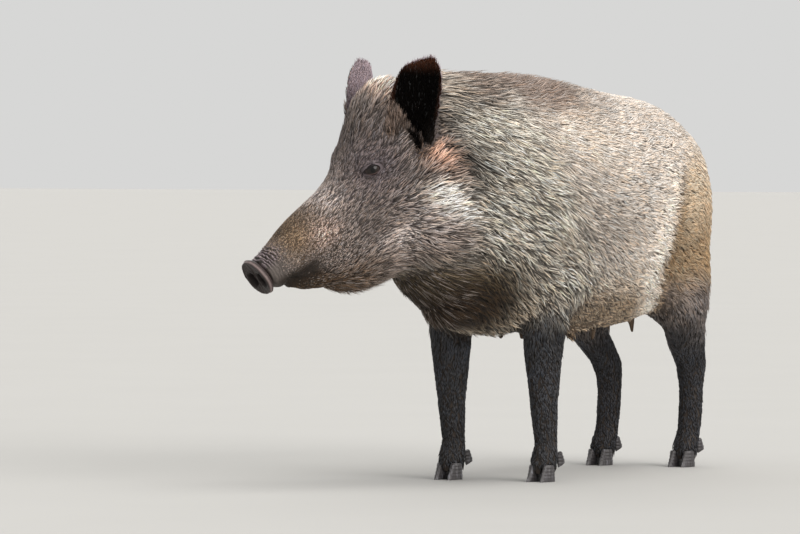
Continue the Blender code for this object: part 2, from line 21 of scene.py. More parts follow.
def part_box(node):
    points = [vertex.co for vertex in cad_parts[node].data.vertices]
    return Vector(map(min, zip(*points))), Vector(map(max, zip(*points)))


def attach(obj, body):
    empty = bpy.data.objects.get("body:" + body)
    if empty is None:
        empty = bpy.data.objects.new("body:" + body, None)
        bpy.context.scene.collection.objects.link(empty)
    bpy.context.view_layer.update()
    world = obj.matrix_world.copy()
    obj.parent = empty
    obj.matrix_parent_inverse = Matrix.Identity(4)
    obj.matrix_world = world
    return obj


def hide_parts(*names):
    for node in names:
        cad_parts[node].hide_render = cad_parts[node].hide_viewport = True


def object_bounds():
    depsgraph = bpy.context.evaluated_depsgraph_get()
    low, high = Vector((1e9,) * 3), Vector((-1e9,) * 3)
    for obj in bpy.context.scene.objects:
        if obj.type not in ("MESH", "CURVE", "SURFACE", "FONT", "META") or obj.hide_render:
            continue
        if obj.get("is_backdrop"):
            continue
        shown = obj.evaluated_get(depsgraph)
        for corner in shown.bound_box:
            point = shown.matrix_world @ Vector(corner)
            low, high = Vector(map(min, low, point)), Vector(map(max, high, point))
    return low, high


log = logging.getLogger("sow")

Rows = np.ndarray
Dice = np.random.Generator
Shape = bmesh.types.BMesh
Mesh = bpy.types.Mesh
Piece = bpy.types.Object
Material = bpy.types.Material
Socket = bpy.types.NodeSocket

BODY = "root"
BAKE_MAP = "OFBake"
PATCH = 0.003  # how far one tuft reaches across the bake map
TINT = "tint"  # the attribute that carries the markings
LEGS = ("fore_left", "fore_right", "hind_left", "hind_right")
FLESH = ("trunk", "neck", "head", *(f"leg_{leg}" for leg in LEGS), "tail")
EARS = ("ear_left", "ear_right")
SAME_POINT = 0.00002  # corners of a solid closer than this are one


class Side(Enum):
    """The animal's own sides, with the sign of Y on each."""

    LEFT = 1.0
    RIGHT = -1.0


def ramp(value: Rows, start: float, end: float) -> Rows:
    """A smooth rise from 0 at start to 1 at end, which may lie either way round.

    Args:
        value: the numbers to read.
        start: where the rise begins.
        end: where it is complete.

    Returns:
        One share from 0 to 1 for each number.
    """
    share = np.clip((value - start) / (end - start), 0.0, 1.0)
    return share * share * (3.0 - 2.0 * share)


def bump(value: Rows, middle: float, spread: float) -> Rows:
    """A soft hump of height 1 round a middle value."""
    return np.exp(-(((value - middle) / spread) ** 2))


def unit(rows: Rows) -> Rows:
    """Each row scaled to length 1."""
    return rows / np.maximum(np.linalg.norm(rows, axis=1, keepdims=True), 1e-9)


def tone(red: int, green: int, blue: int) -> Rows:
    """A colour given as seen on a screen, from 0 to 255, as linear light."""
    seen = np.array((red, green, blue)) / 255.0
    return np.where(seen <= 0.04045, seen / 12.92, ((seen + 0.055) / 1.055) ** 2.4)


def shade(red: int, green: int, blue: int) -> Rows:
    """A colour as a dataclass field."""
    return field(default_factory=lambda: tone(red, green, blue))


@dataclass(frozen=True)
class Wander:
    """Random values that change smoothly through space and are the same every run."""

    seed: int
    cell: float  # the size of one hump

    SIZE = 32  # values along each side of the table, past which it repeats

    def at(self, points: Rows) -> Rows:
        """The values at some points.

        Args:
            points: one row for each place.

        Returns:
            One value from -1 to 1 for each place.
        """
        table = np.random.default_rng(self.seed).uniform(-1.0, 1.0, (self.SIZE,) * 3)
        place = points / self.cell
        low = np.floor(place).astype(int)
        share = place - low
        share = share * share * (3.0 - 2.0 * share)
        total = np.zeros(len(points))
        for corner in np.ndindex(2, 2, 2):
            weight = np.prod(np.where(corner, share, 1.0 - share), axis=1)
            index = (low + corner) % self.SIZE
            total += weight * table[index[:, 0], index[:, 1], index[:, 2]]
        return total


# ---- where things are on the sow


@dataclass(frozen=True)
class EarShape:
    """The cupped, leaf-like middle surface of an ear, from its root to its tip."""

    length: float = 0.192
    half_width: float = 0.0475
    wall: float = 0.0046
    root: tuple[float, float, float] = (0.014, 0.076, 0.652)  # ahead of the nape, outwards, up
    facing: float = math.radians(60)
    curl: float = 1.15
    lean: float = math.radians(5)

    WIDEST = 0.48  # where along it, from 0 at the root to 1 at the tip
    NARROWEST = 0.14  # the least share of its width that it keeps
    BOW = 0.020  # how far it bows forwards between root and tip
    SPLAY = {Side.LEFT: math.radians(8), Side.RIGHT: math.radians(13)}
    SKEW = {Side.LEFT: 0.005, Side.RIGHT: 0.0}  # how far the tip is drawn over to one side
    PEAK = {Side.LEFT: 0.007, Side.RIGHT: 0.0}  # how far the tip's inner corner stands up

    def place(self, nape: Vector, heading: float, side: Side) -> Matrix:
        """The ear's own axes: x across its hollow, y towards its back and z to its tip.

        Args:
            nape: the place behind the head that the root is set off from.
            heading: the head's heading.
            side: which ear.

        Returns:
            The frame.
        """
        turn = Matrix.Rotation(heading, 4, "Z")
        out = Vector((self.root[0], side.value * self.root[1], self.root[2]))
        splay = Matrix.Rotation(-side.value * self.SPLAY[side], 4, "X")
        lean = Matrix.Rotation(-self.lean, 4, "Y")
        facing = Matrix.Rotation(math.pi / 2 + side.value * self.facing, 4, "Z")
        frame = turn @ splay @ lean @ facing
        frame.translation = nape + turn @ out
        return frame

    def point(self, side: Side, along: float, across: float) -> Vector:
        """A point in the ear's own axes.

        Args:
            side: which ear.
            along: 0 at the root and 1 at the tip.
            across: -1 to 1, from edge to edge.

        Returns:
            The point on the middle of the wall.
        """
        reach = abs((along - self.WIDEST) / 0.535)
        oval = max(1.0 - reach ** (3.5 if along > self.WIDEST else 2.0), 0.0) ** 0.46
        width = self.half_width * max(oval, self.NARROWEST)
        curl = across * self.curl * (1.0 - 0.45 * along)
        forwards = 0.75 * width * (1.0 - math.cos(curl)) + self.BOW * along * (1.0 - along)
        skew = self.SKEW[side] * side.value * along**3
        peak = self.PEAK[side] * side.value * across * max(along, 0.0) ** 4
        return Vector((width * across + skew, -forwards, self.length * along + peak))


@dataclass(frozen=True)
class Teats:
    """Five pairs of teats along the belly."""

    middle: float  # the trunk's middle plane
    first: float = -0.004
    step: float = 0.088
    pairs: int = 5
    apart: float = 0.058
    lowest: float = 0.2752
    reach: float = 0.0105

    CEILING = 0.36  # the belly lies below this height

    def places(self) -> list[tuple[float, float, float]]:
        """The tips.

        Returns:
            One (x, y, z) for each teat.
        """
        found = []
        for pair in range(self.pairs):
            along = self.first - self.step * pair
            tip = self.lowest + 0.25 * (along + 0.15) ** 2
            found += [(along, self.middle + side.value * self.apart, tip) for side in Side]
        return found

    def near(self, spot: Vector) -> bool:
        """Whether a place on the belly is on or close by a teat.

        Args:
            spot: the place.

        Returns:
            True on or by a teat.
        """
        if spot.z > self.CEILING:
            return False
        return any(math.hypot(spot.x - x, spot.y - y) < self.reach + 0.005 for x, y, _ in self.places())

    def share(self, points: Rows) -> Rows:
        """How far each place belongs to a teat."""
        return self.within(points, self.reach + 0.0045, self.reach)

    def close(self, points: Rows) -> Rows:
        """How close each place on the belly is to a teat."""
        return self.within(points, 0.050, 0.022)

    def within(self, points: Rows, far: float, near: float) -> Rows:
        """Which places on the belly lie round a teat.

        Args:
            points: one row for each place.
            far: how far off the share is still 0.
            near: how far off it is 1.

        Returns:
            One share for each place.
        """
        total = np.zeros(len(points))
        for x, y, _ in self.places():
            away = np.hypot(points[:, 0] - x, points[:, 1] - y)
            total = np.maximum(total, ramp(away, far, near) * (points[:, 2] < self.CEILING))
        return total

    def shaped(self, points: Rows) -> Rows:
        """Skin drawn down into the teats, each with a rounded tip.

        Args:
            points: the skin's places.

        Returns:
            The new places.
        """
        placed = points.copy()
        for x, y, tip in self.places():
            away = np.hypot(points[:, 0] - x, points[:, 1] - y)
            pull = ramp(away, self.reach, 0.0040) * (points[:, 2] < self.CEILING)
            goal = tip + 0.0035 * np.minimum(away / 0.0045, 1.5) ** 2
            placed[:, 2] += np.minimum(goal - points[:, 2], 0.0) * pull
        return placed


@dataclass(frozen=True)
class Anatomy:
    """The places that the skin, its coat and its markings are worked out from."""

    nose: Rows  # the middle of the nose pad's face
    back: Rows  # from the nose along the head to the occiput
    left: Rows
    up: Rows
    nape: Rows
    heading: float  # the head's heading in the level plane
    eyes: dict[Side, Rows]
    feet: dict[str, Rows]
    middle: float  # the trunk's middle plane
    ears: dict[Side, Matrix]
    ear_shape: EarShape
    teats: Teats

    EYE_BACK = 0.302
    EYE_UP = 0.040
    HEAD_DROP = math.radians(36)
    NOSE_REACH = 0.307
    NOSE_HEIGHT = 0.416
    NECK_START = 0.101  # where along the body the neck begins to bend
    CLAWS_AHEAD = 0.018  # how far the claws' middle stands ahead of the leg's

    @classmethod
    def from_frame(cls) -> "Anatomy":
        """The places read from the solids.

        Returns:
            The anatomy.
        """
        eyes = {side: centre_of(f"eye_{side.name.lower()}") for side in Side}
        left = unit((eyes[Side.LEFT] - eyes[Side.RIGHT])[None])[0]
        heading = math.atan2(-left[0], left[1])
        ahead = np.array((math.cos(heading), math.sin(heading), 0.0))
        level = np.array((0.0, 0.0, 1.0))
        drop = (math.cos(cls.HEAD_DROP), math.sin(cls.HEAD_DROP))
        back = -ahead * drop[0] + level * drop[1]
        up = ahead * drop[1] + level * drop[0]
        nose = (eyes[Side.LEFT] + eyes[Side.RIGHT]) / 2 - back * cls.EYE_BACK - up * cls.EYE_UP
        nape = nose - ahead * cls.NOSE_REACH - level * cls.NOSE_HEIGHT
        feet = {}
        for leg in LEGS:
            pair = [centre_of(f"claw_{leg}_{which}") for which in ("inner", "outer")]
            feet[leg] = (pair[0] + pair[1]) / 2 - np.array((cls.CLAWS_AHEAD, 0.0, 0.0))
        shape = EarShape()
        ears = {side: shape.place(Vector(nape), heading, side) for side in Side}
        middle = float(feet["fore_left"][1] + feet["fore_right"][1]) / 2
        return cls(nose, back, left, up, nape, heading, eyes, feet, middle, ears, shape, Teats(middle))

    def on_head(self, points: Rows) -> tuple[Rows, Rows, Rows]:
        """Distances back from the nose, out to the left, and up from the head's axis."""
        away = points - self.nose
        return away @ self.back, away @ self.left, away @ self.up


def centre_of(node: str) -> Rows:
    """The middle of a solid's box."""
    low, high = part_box(node)
    return (np.array(low) + np.array(high)) / 2


class Zones:
    """How far each of some places belongs to each region of the body, as shares from 0 to 1."""

    EAR_MARKS = (41, 25)  # rows and columns of marks on an ear's middle surface
    FOLD = 0.44  # the height of the fold between thigh and flank
    WRINKLE = 0.0068  # from one wrinkle over the snout to the next

    def __init__(self, sow: Anatomy, points: Rows, normals: Rows) -> None:
        """Reads the regions.

        Args:
            sow: the animal's places.
            points: one row for each place.
            normals: the skin's outward direction at each.
        """
        self.sow, self.points, self.normals = sow, points, normals
        self.x, self.y, self.z = points.T
        self.back, self.side, self.rise = sow.on_head(points)
        self.outward = np.abs(self.side)
        self.forward = np.array((math.cos(sow.heading), math.sin(sow.heading), 0.0))
        self.top = ramp(normals[:, 2], 0.55, 0.92)
        self.under = ramp(-normals[:, 2], 0.25, 0.75)
        ahead = (points - sow.nape) @ self.forward
        self.head = ramp(ahead + 0.25 * (0.70 - self.z), -0.075, 0.005) * ramp(self.z, 0.28, 0.33)
        self.find_legs()
        self.find_ears()
        self.find_face()
        self.find_neck()
        self.find_haunch()

    def find_legs(self) -> None:
        """The legs, with a ragged upper edge, the hind quarters, the rump and the hanging tail."""
        ragged = Wander(13, 0.028).at(self.points)
        legs = []
        for leg, foot in self.sow.feet.items():
            away = np.hypot(self.x - foot[0] - (0.03 if "hind" in leg else 0.0), self.y - foot[1])
            reach = np.where(self.z < 0.275, 1.0, ramp(away, 0.120, 0.080))
            near = ramp(away, 0.30, 0.15) * reach
            legs.append(near * ramp(self.z + 0.035 * ragged, 0.425, 0.285) * (1.0 - self.head))
        self.leg = np.maximum.reduce(legs)
        self.hind = ramp(self.x, -0.20, -0.35)
        self.rump = ramp(self.x, -0.40, -0.58) * (1.0 - self.leg)
        bend = 0.062 * ramp(self.z, 0.71, 0.60)
        away = np.hypot(self.x + 0.614 + bend, self.y - self.sow.middle)
        self.tail = ramp(away, 0.034, 0.026) * ramp(self.z, 0.69, 0.66) * ramp(self.x, -0.625, -0.640)

    def find_ears(self) -> None:
        """The ears, their hollows and the hair close by."""
        count = len(self.points)
        self.ear, self.ear_along, self.ear_across, self.ear_inside = np.zeros((4, count))
        self.ear_root, self.ear_skirt, self.ear_close, self.ear_fur = np.zeros((4, count))
        for side, frame in self.sow.ears.items():
            turn = np.array(frame.to_3x3())
            local = (self.points - np.array(frame.translation)) @ turn
            self.find_ear_root(side, local)
            self.find_ear(side, local, (self.normals @ turn)[:, 1])
        self.hollow = np.maximum(self.ear * self.ear_inside * (1.0 - self.ear_fur), self.ear_root)

    def find_ear_root(self, side: Side, local: Rows) -> None:
        """The notch at the foot of one ear's hollow, painted dark partly as shade, and the skirt of hair
        round it.

        Args:
            side: which ear.
            local: the places in the ear's own axes.
        """
        across, rear, height = local.T
        rise = np.clip((height - 0.012) / 0.058, 0.0, 1.0)
        gap = np.abs(side.value * across - 0.022 + 0.016 * rise) - 0.004 - 0.028 * rise
        before = ramp(rear, 0.012, 0.0)
        below = ramp(height, 0.095, 0.080)
        notch = ramp(gap, 0.003, -0.003) * ramp(height, 0.008, 0.014) * below
        notch = notch * before * ramp(rear, -0.10, -0.08)
        self.ear_root = np.maximum(self.ear_root, notch)
        skirt = ramp(gap, 0.024, 0.006) * ramp(height, -0.020, -0.008) * below
        self.ear_skirt = np.maximum(self.ear_skirt, skirt * before)

    def find_ear(self, side: Side, local: Rows, facing: Rows) -> None:
        """Which places are on one ear, how far up and off its middle, and whether in its hollow.

        Args:
            side: which ear.
            local: the places in the ear's own axes.
            facing: how far the skin at each faces the ear's back.
        """
        rows, columns = self.EAR_MARKS
        marks = [
            (row / (rows - 1), 2 * column / (columns - 1) - 1)
            for row in range(rows)
            for column in range(columns)
        ]
        tree = KDTree(len(marks))
        for index, (height, across) in enumerate(marks):
            tree.insert(self.sow.ear_shape.point(side, height, across), index)
        tree.balance()
        near = (np.abs(local[:, 0]) < 0.07) & (local[:, 2] > -0.02) & (local[:, 2] < 0.22)
        for index in np.flatnonzero(near):
            _, mark, gap = tree.find(Vector(local[index]))
            height, across = marks[mark]
            self.ear_close[index] = max(self.ear_close[index], float(ramp(np.array(gap), 0.036, 0.014)))
            belongs = float(ramp(np.array(gap), 0.0085, 0.0055) * ramp(np.array(height), 0.06, 0.16))
            front = np.array(local[index][2] + side.value * local[index][0])
            self.ear_fur[index] = max(self.ear_fur[index], belongs * float(ramp(front, 0.057, 0.042)))
            if belongs > self.ear[index]:
                self.ear[index] = belongs
                self.ear_along[index] = height
                self.ear_across[index] = abs(across)
                self.ear_inside[index] = float(ramp(np.array(facing[index]), 0.15, -0.25))

    def find_face(self) -> None:
        """The parts of the head, the wrinkles over the snout and the distance to the nearer eye."""
        self.blush = bump(self.back, 0.402, 0.028) * bump(self.rise, -0.002, 0.034) * (1.0 - self.ear)
        self.blush = self.blush * ramp(self.outward, 0.09, 0.12)
        self.muzzle = ramp(self.back, 0.235, 0.150) * self.head
        self.face = self.head * (1.0 - self.muzzle)
        self.cheek = self.face * ramp(self.rise, 0.00, -0.07) * ramp(self.back, 0.20, 0.30)
        self.jaw = self.head * ramp(self.rise + 0.30 * self.back, -0.02, -0.06)
        self.streak = bump(self.back + 0.25 * (self.rise + 0.10), 0.362, 0.026)
        self.streak = self.streak * ramp(self.rise, -0.150, -0.115) * ramp(self.rise, -0.02, -0.06)
        wave = Wander(31, 0.009).at(self.points) + 0.7 * Wander(33, 0.0045).at(self.points)
        ring = self.back + 0.0030 * wave + 0.10 * np.abs(self.rise)
        self.wrinkle = np.sin(2 * math.pi * ring / self.WRINKLE)
        self.eye_gap = np.full(len(self.points), 1.0)
        for eye in self.sow.eyes.values():
            self.eye_gap = np.minimum(self.eye_gap, np.linalg.norm(self.points - eye, axis=1))

    def find_neck(self) -> None:
        """The neck, the mane on its top, the throat and the brisket."""
        up = self.normals[:, 2]
        self.neck = ramp(self.x, 0.02, 0.20) * (1.0 - self.head) * (1.0 - self.leg)
        self.mane = ramp(up, 0.60, 0.93) * ramp(self.x, -0.30, 0.02) * ramp(self.z, 0.62, 0.74)
        front = ramp(self.normals @ self.forward, -0.15, 0.30) + ramp(-up, 0.0, 0.4)
        self.throat = ramp(self.z, 0.50, 0.42) * np.clip(front, 0.0, 1.0) * (1.0 - self.leg)
        self.throat = self.throat * ramp(self.rise, -0.13, -0.19) * ramp(self.x, 0.20, 0.32)
        self.brisket = bump(self.z, 0.36, 0.05) * ramp(self.x, 0.22, 0.30) * (1.0 - self.leg)

    def find_haunch(self) -> None:
        """The groin, the haunch and the pale belt ahead of it, all set off from one bowed line."""
        line = -0.270 - np.where(self.z > self.FOLD, 1.75, 9.5) * (self.z - self.FOLD) ** 2
        line = np.maximum(line, -0.42)
        past = self.x - line
        self.groin = bump(self.x, line, 0.032) * ramp(self.z, 0.68, 0.58) * ramp(self.z, 0.30, 0.36)
        self.groin = self.groin * ramp(np.abs(self.normals[:, 1]), 0.4, 0.8)
        drift = Wander(14, 0.070).at(self.points) + 0.5 * Wander(15, 0.030).at(self.points)
        high = ramp(self.z, 0.54, 0.68)
        edge = (past + (0.014 + 0.030 * high) * drift + 0.010 * high) / (1.0 + 2.2 * high)
        self.haunch = ramp(edge, 0.010, -0.030) * ramp(self.z + 0.040 * drift, 0.755, 0.575)
        self.seam = bump(past, -0.020, 0.018)
        self.belt = ramp(past + 0.006 * drift, -0.006, 0.014) * ramp(past, 0.155, 0.040)
        self.belt = self.belt * ramp(self.z, 0.68, 0.58) * ramp(self.z, 0.30, 0.335)


# ---- coat and its colours


@dataclass(frozen=True)
class Palette:
    """The colours of hair and skin."""

    cream: Rows = shade(219, 209, 199)
    silver: Rows = shade(214, 206, 193)
    drab: Rows = shade(162, 148, 136)
    frost: Rows = shade(178, 166, 160)
    ash: Rows = shade(138, 126, 119)
    straw: Rows = shade(216, 195, 167)
    tan: Rows = shade(162, 134, 99)
    gold: Rows = shade(104, 80, 34)
    umber: Rows = shade(92, 70, 48)
    earth: Rows = shade(160, 140, 128)
    soot: Rows = shade(34, 30, 28)
    slate: Rows = shade(72, 75, 82)
    rust: Rows = shade(78, 48, 35)
    lilac: Rows = shade(172, 156, 162)
    rose: Rows = shade(200, 174, 162)


def picked(rows: "Hair | Tints", members: Rows) -> "Hair | Tints":
    """The same rows for some of the places only."""
    return type(rows)(*(getattr(rows, item.name)[members] for item in fields(rows)))


def mixed(colour: Rows, other: Rows, share: Rows) -> Rows:
    """Colours with a share of another laid over them."""
    return colour + (other - colour) * np.clip(share, 0.0, 1.0)[:, None]


@dataclass(frozen=True)
class Tints:
    """The colours of the hairs at each place, and how much of the coat is dark hair."""

    tips: Rows
    roots: Rows
    dusk: Rows  # the share of hairs that are dark all the way
    fade: Rows  # how far up a hair its dark root reaches
    flecks: Rows  # the share of hairs that are pale among darker ones


@dataclass(frozen=True)
class Spots:
    """The hairs' places, shifted a little so that no marking has a straight edge."""

    x: Rows
    z: Rows
    patch: Rows  # from -1 to 1, what makes the coat uneven


@dataclass(frozen=True)
class Markings:
    """The colours of the sow, for skin and coat alike."""

    palette: Palette = field(default_factory=Palette)

    def tips(self, zone: Zones) -> Rows:
        """The colour of the hairs' tips at each place.

        Args:
            zone: the places.

        Returns:
            One linear colour for each place.
        """
        hue = self.palette
        drift = Wander(11, 0.11).at(zone.points)
        patch = Wander(12, 0.045).at(zone.points)
        spots = Spots(zone.x + 0.03 * drift, zone.z + 0.02 * drift, patch)
        tint = np.tile(hue.cream, (len(zone.points), 1))
        for lay in (self.flank_tips, self.haunch_tips, self.back_tips, self.leg_tips):
            tint = lay(zone, tint, spots)
        glint = 0.50 * bump(spots.x, 0.285, 0.060) * bump(spots.z, 0.675, 0.045)
        tint = mixed(tint, hue.silver * 1.8, glint)
        tint = self.head_tips(zone, tint)
        shadow = bump(zone.back, 0.440, 0.034) * bump(zone.rise, -0.035, 0.045)
        shadow = shadow * ramp(zone.outward, 0.09, 0.12)
        tint = mixed(tint, hue.drab * 0.28, 0.90 * shadow)
        tint = mixed(tint, hue.umber * 0.5, 0.80 * zone.ear_skirt * (1.0 - zone.hollow) * (1.0 - zone.ear))
        return tint * (1.06 + 0.10 * drift + 0.08 * patch)[:, None]

    def flank_tips(self, zone: Zones, tint: Rows, spots: Spots) -> Rows:
        """The grizzled cream of the flank, paler bristle on the shoulder and neck, and the belt.

        Args:
            zone: the places.
            tint: the colours so far.
            spots: the same places, shifted.

        Returns:
            The hairs' colours.
        """
        hue, x, z = self.palette, spots.x, spots.z
        shoulder = ramp(x + 0.45 * (0.70 - z), 0.12, 0.28)
        tint = mixed(tint, hue.silver * 1.30, 0.95 * shoulder + 0.25 * ramp(z, 0.52, 0.36))
        tint = mixed(tint, hue.drab, 0.55 * shoulder * ramp(z, 0.74, 0.79))
        nape = ramp(x, 0.36, 0.42) * ramp(z, 0.56, 0.62) * ramp(z, 0.78, 0.72)
        tint = mixed(tint, hue.drab * 0.62, 0.90 * nape)
        warm = ramp(x, 0.20, 0.08) * ramp(z, 0.60, 0.72) * ramp(x, -0.10, 0.02)
        tint = mixed(tint, hue.straw, 0.15 * warm)
        dull = bump(z, 0.485, 0.060) * ramp(x, -0.26, -0.14) * ramp(x, 0.26, 0.16)
        tint = mixed(tint, hue.drab * 1.10, 0.32 * dull)
        tint = mixed(tint, hue.cream * 1.50, 0.50 * bump(x, 0.110, 0.070) * bump(z, 0.705, 0.045))
        tint = mixed(tint, hue.silver * 1.60, 0.40 * bump(x, 0.040, 0.050) * bump(z, 0.405, 0.030))
        return mixed(tint, hue.cream * 1.45, 0.95 * zone.belt)

    def haunch_tips(self, zone: Zones, tint: Rows, spots: Spots) -> Rows:
        """The tawny haunch, deeper towards its foot and along its front edge.

        Args:
            zone: the places.
            tint: the colours so far.
            spots: the same places, shifted.

        Returns:
            The hairs' colours.
        """
        hue, x, z, patch = self.palette, spots.x, spots.z, spots.patch
        tint = mixed(tint, hue.straw, 0.90 * zone.haunch)
        tint = mixed(tint, hue.tan * 1.30, 0.45 * zone.haunch * ramp(x, -0.44, -0.56) * ramp(z, 0.66, 0.54))
        tint = mixed(tint, hue.drab, 0.30 * zone.rump * (0.5 + 0.5 * patch))
        deep = hue.tan * (0.84 + 0.18 * ramp(x, -0.34, -0.50))[:, None]
        tint = mixed(tint, deep, 0.80 * zone.haunch * ramp(z, 0.60, 0.44))
        tint = mixed(tint, hue.tan * 0.85, 0.45 * zone.haunch * zone.seam * ramp(z, 0.66, 0.58))
        return mixed(tint, hue.tan, 0.40 * zone.groin)

    def back_tips(self, zone: Zones, tint: Rows, spots: Spots) -> Rows:
        """The brown saddle on the back, the dark brisket, and belly and throat darker: partly their own
        colour, partly painted shade.

        Args:
            zone: the places.
            tint: the colours so far.
            spots: the same places, shifted.

        Returns:
            The hairs' colours.
        """
        hue, x, z, patch = self.palette, spots.x, spots.z, spots.patch
        saddle = ramp(z + 0.02 * patch, 0.715, 0.785) * ramp(x + 0.04 * patch, -0.22, -0.05)
        saddle = saddle * ramp(x, 0.42, 0.26)
        tint = mixed(tint, hue.earth * (0.86 - 0.20 * ramp(x, 0.08, -0.08))[:, None], 0.90 * saddle)
        # painted shade: the low belly and any skin that faces down are laid over with darker tan, partly the
        # belly's own colour
        low = np.maximum(zone.under, ramp(z, 0.385, 0.335)) * ramp(zone.x, 0.12, 0.06)
        low = np.maximum(low, 0.6 * zone.under)
        tint = mixed(tint, hue.tan * 1.18, 0.74 * low * (1.0 - zone.head) * (1.0 - 0.9 * zone.belt))
        # painted shade under the lowered head: the throat darker, and darkest low down, partly its own colour
        tint = mixed(tint, hue.gold * 0.6, 0.92 * zone.throat)
        tint = mixed(tint, hue.umber * 0.22, 0.85 * zone.throat * ramp(z, 0.43, 0.38))
        return mixed(tint, hue.umber * 0.7, 0.60 * zone.brisket)

    def leg_tips(self, zone: Zones, tint: Rows, spots: Spots) -> Rows:
        """The slate-black legs, frosted at the top of the hind ones and with patches of painted bluish sheen,
        and the dark tail.

        Args:
            zone: the places.
            tint: the colours so far.
            spots: the same places, shifted.

        Returns:
            The hairs' colours.
        """
        hue, z, patch = self.palette, spots.z, spots.patch
        tint = mixed(tint, hue.ash * 1.05, 0.85 * zone.haunch * ramp(z, 0.43, 0.36))
        tint = mixed(tint, hue.slate, zone.leg * 0.97 * (1.0 - 0.9 * zone.belt))
        tint = mixed(tint, hue.soot, 0.24 * zone.leg * (0.5 + 0.5 * patch))
        frosted = 0.75 * zone.leg * zone.hind * ramp(zone.z + 0.03 * patch, 0.24, 0.35)
        tint = mixed(tint, hue.frost * 1.15, frosted)
        # painted sheen: paler bluish-slate patches over the legs' dark hair
        tint = mixed(tint, hue.slate * 1.7, 0.55 * zone.leg * ramp(patch, 0.15, 0.70))
        return mixed(tint, hue.soot, zone.tail * 0.55)

    def head_tips(self, zone: Zones, tint: Rows) -> Rows:
        """The hairs' colours with the head's own laid over them.

        Args:
            zone: the places.
            tint: the colours so far.

        Returns:
            The hairs' colours.
        """
        hue = self.palette
        back, rise = zone.back, zone.rise
        head = np.tile(hue.ash, (len(tint), 1))
        head = mixed(head, hue.earth * 2.25, ramp(back, 0.375, 0.42) * ramp(rise, 0.06, 0.12))
        head = mixed(head, hue.ash * 0.50, 0.80 * bump(back, 0.32, 0.05) * bump(rise, 0.105, 0.04))
        head = mixed(head, hue.frost, bump(back, 0.185, 0.040) * ramp(rise, 0.00, 0.035))
        head = mixed(head, hue.frost * 1.65, 0.90 * bump(back, 0.270, 0.045) * bump(rise, -0.100, 0.035))
        head = mixed(head, hue.ash * 0.50, 0.70 * bump(back, 0.225, 0.030) * bump(rise, -0.050, 0.025))
        head = mixed(head, hue.cream * 1.5, 0.95 * zone.streak)
        head = mixed(head, hue.soot * 1.6, 0.85 * bump(back, 0.056, 0.022) * ramp(rise, 0.012, 0.034))
        head = mixed(head, hue.frost * 1.1, 0.50 * zone.cheek * bump(back, 0.320, 0.030))
        head = mixed(head, hue.lilac * 0.34, 0.80 * bump(zone.eye_gap, 0.0, 0.064))
        head = mixed(head, hue.ash * 1.05, 0.80 * zone.muzzle * ramp(back, 0.19, 0.14))
        head = mixed(head, hue.tan, 0.70 * bump(back, 0.100, 0.045) * ramp(rise, -0.03, 0.02))
        head = mixed(head, hue.rose * 1.45, 0.90 * bump(back, 0.146, 0.026) * bump(rise, -0.004, 0.020))
        head = mixed(head, hue.soot * 1.5, 0.60 * bump(back, 0.090, 0.045) * ramp(rise, 0.033, 0.043))
        chin = ramp(rise + 0.10 * back, -0.012, -0.030) * ramp(back, 0.13, 0.09)
        head = mixed(head, hue.umber * 0.10, 0.97 * chin)
        head = mixed(head, hue.umber, 0.55 * zone.jaw * ramp(back, 0.22, 0.14) + 0.30 * zone.jaw)
        tint = mixed(tint, head * 1.45, zone.head * (1.0 - zone.throat))
        tint = mixed(tint, hue.rose * np.array((2.00, 1.66, 1.42)), 0.97 * zone.blush)
        # partly the ear's dark hair, partly painted shade: the notch at the foot of each ear near-black,
        # where the hollow runs down into the scalp
        tint = mixed(tint, hue.soot * 0.22, zone.ear_root * (1.0 - zone.ear))
        nap = np.tile(hue.lilac * 0.32, (len(tint), 1))
        nap = mixed(nap, hue.lilac * 0.86, ramp(zone.ear_along, 0.40, 0.90))
        tint = mixed(tint, nap, zone.ear * (1.0 - zone.ear_inside))
        fringe = 0.5 * ramp(zone.ear_across, 0.84, 1.0) * ramp(zone.ear_along, 0.30, 0.60)
        fringe = np.maximum(ramp(zone.ear_along, 0.80, 1.0), fringe)
        hollow = mixed(np.tile(hue.soot * 0.20, (len(tint), 1)), hue.rust, 0.80 * fringe)
        hollow = mixed(hollow, hue.earth * 0.80, 0.95 * zone.ear_fur)
        return mixed(tint, hollow, zone.ear * zone.ear_inside)

    def tints(self, zone: Zones) -> Tints:
        """Everything that the coat needs to be coloured.

        Args:
            zone: the places.

        Returns:
            The colours and shares.
        """
        tips = self.tips(zone)
        x, z = zone.x, zone.z
        # less pale, so darker at the root and with more dark hairs, where the skin faces down: partly painted
        # shade on the underside
        pale = ramp(x + 0.90 * (0.70 - z), 0.44, 0.00) * (1.0 - 0.65 * zone.under * (1.0 - zone.belt))
        pale = pale * (1.0 - zone.leg) * (1.0 - 0.4 * zone.groin) * (1.0 - zone.head)
        pale = pale * (1.0 - 0.7 * ramp(x, 0.16, 0.30) * ramp(z, 0.71, 0.76))
        roots = mixed(np.tile(self.palette.soot, (len(tips), 1)), tips, 0.03 + 0.44 * pale)
        roots = mixed(roots, tips, 0.70 * zone.ear * (1.0 - zone.ear_inside) + 0.06 * zone.head)
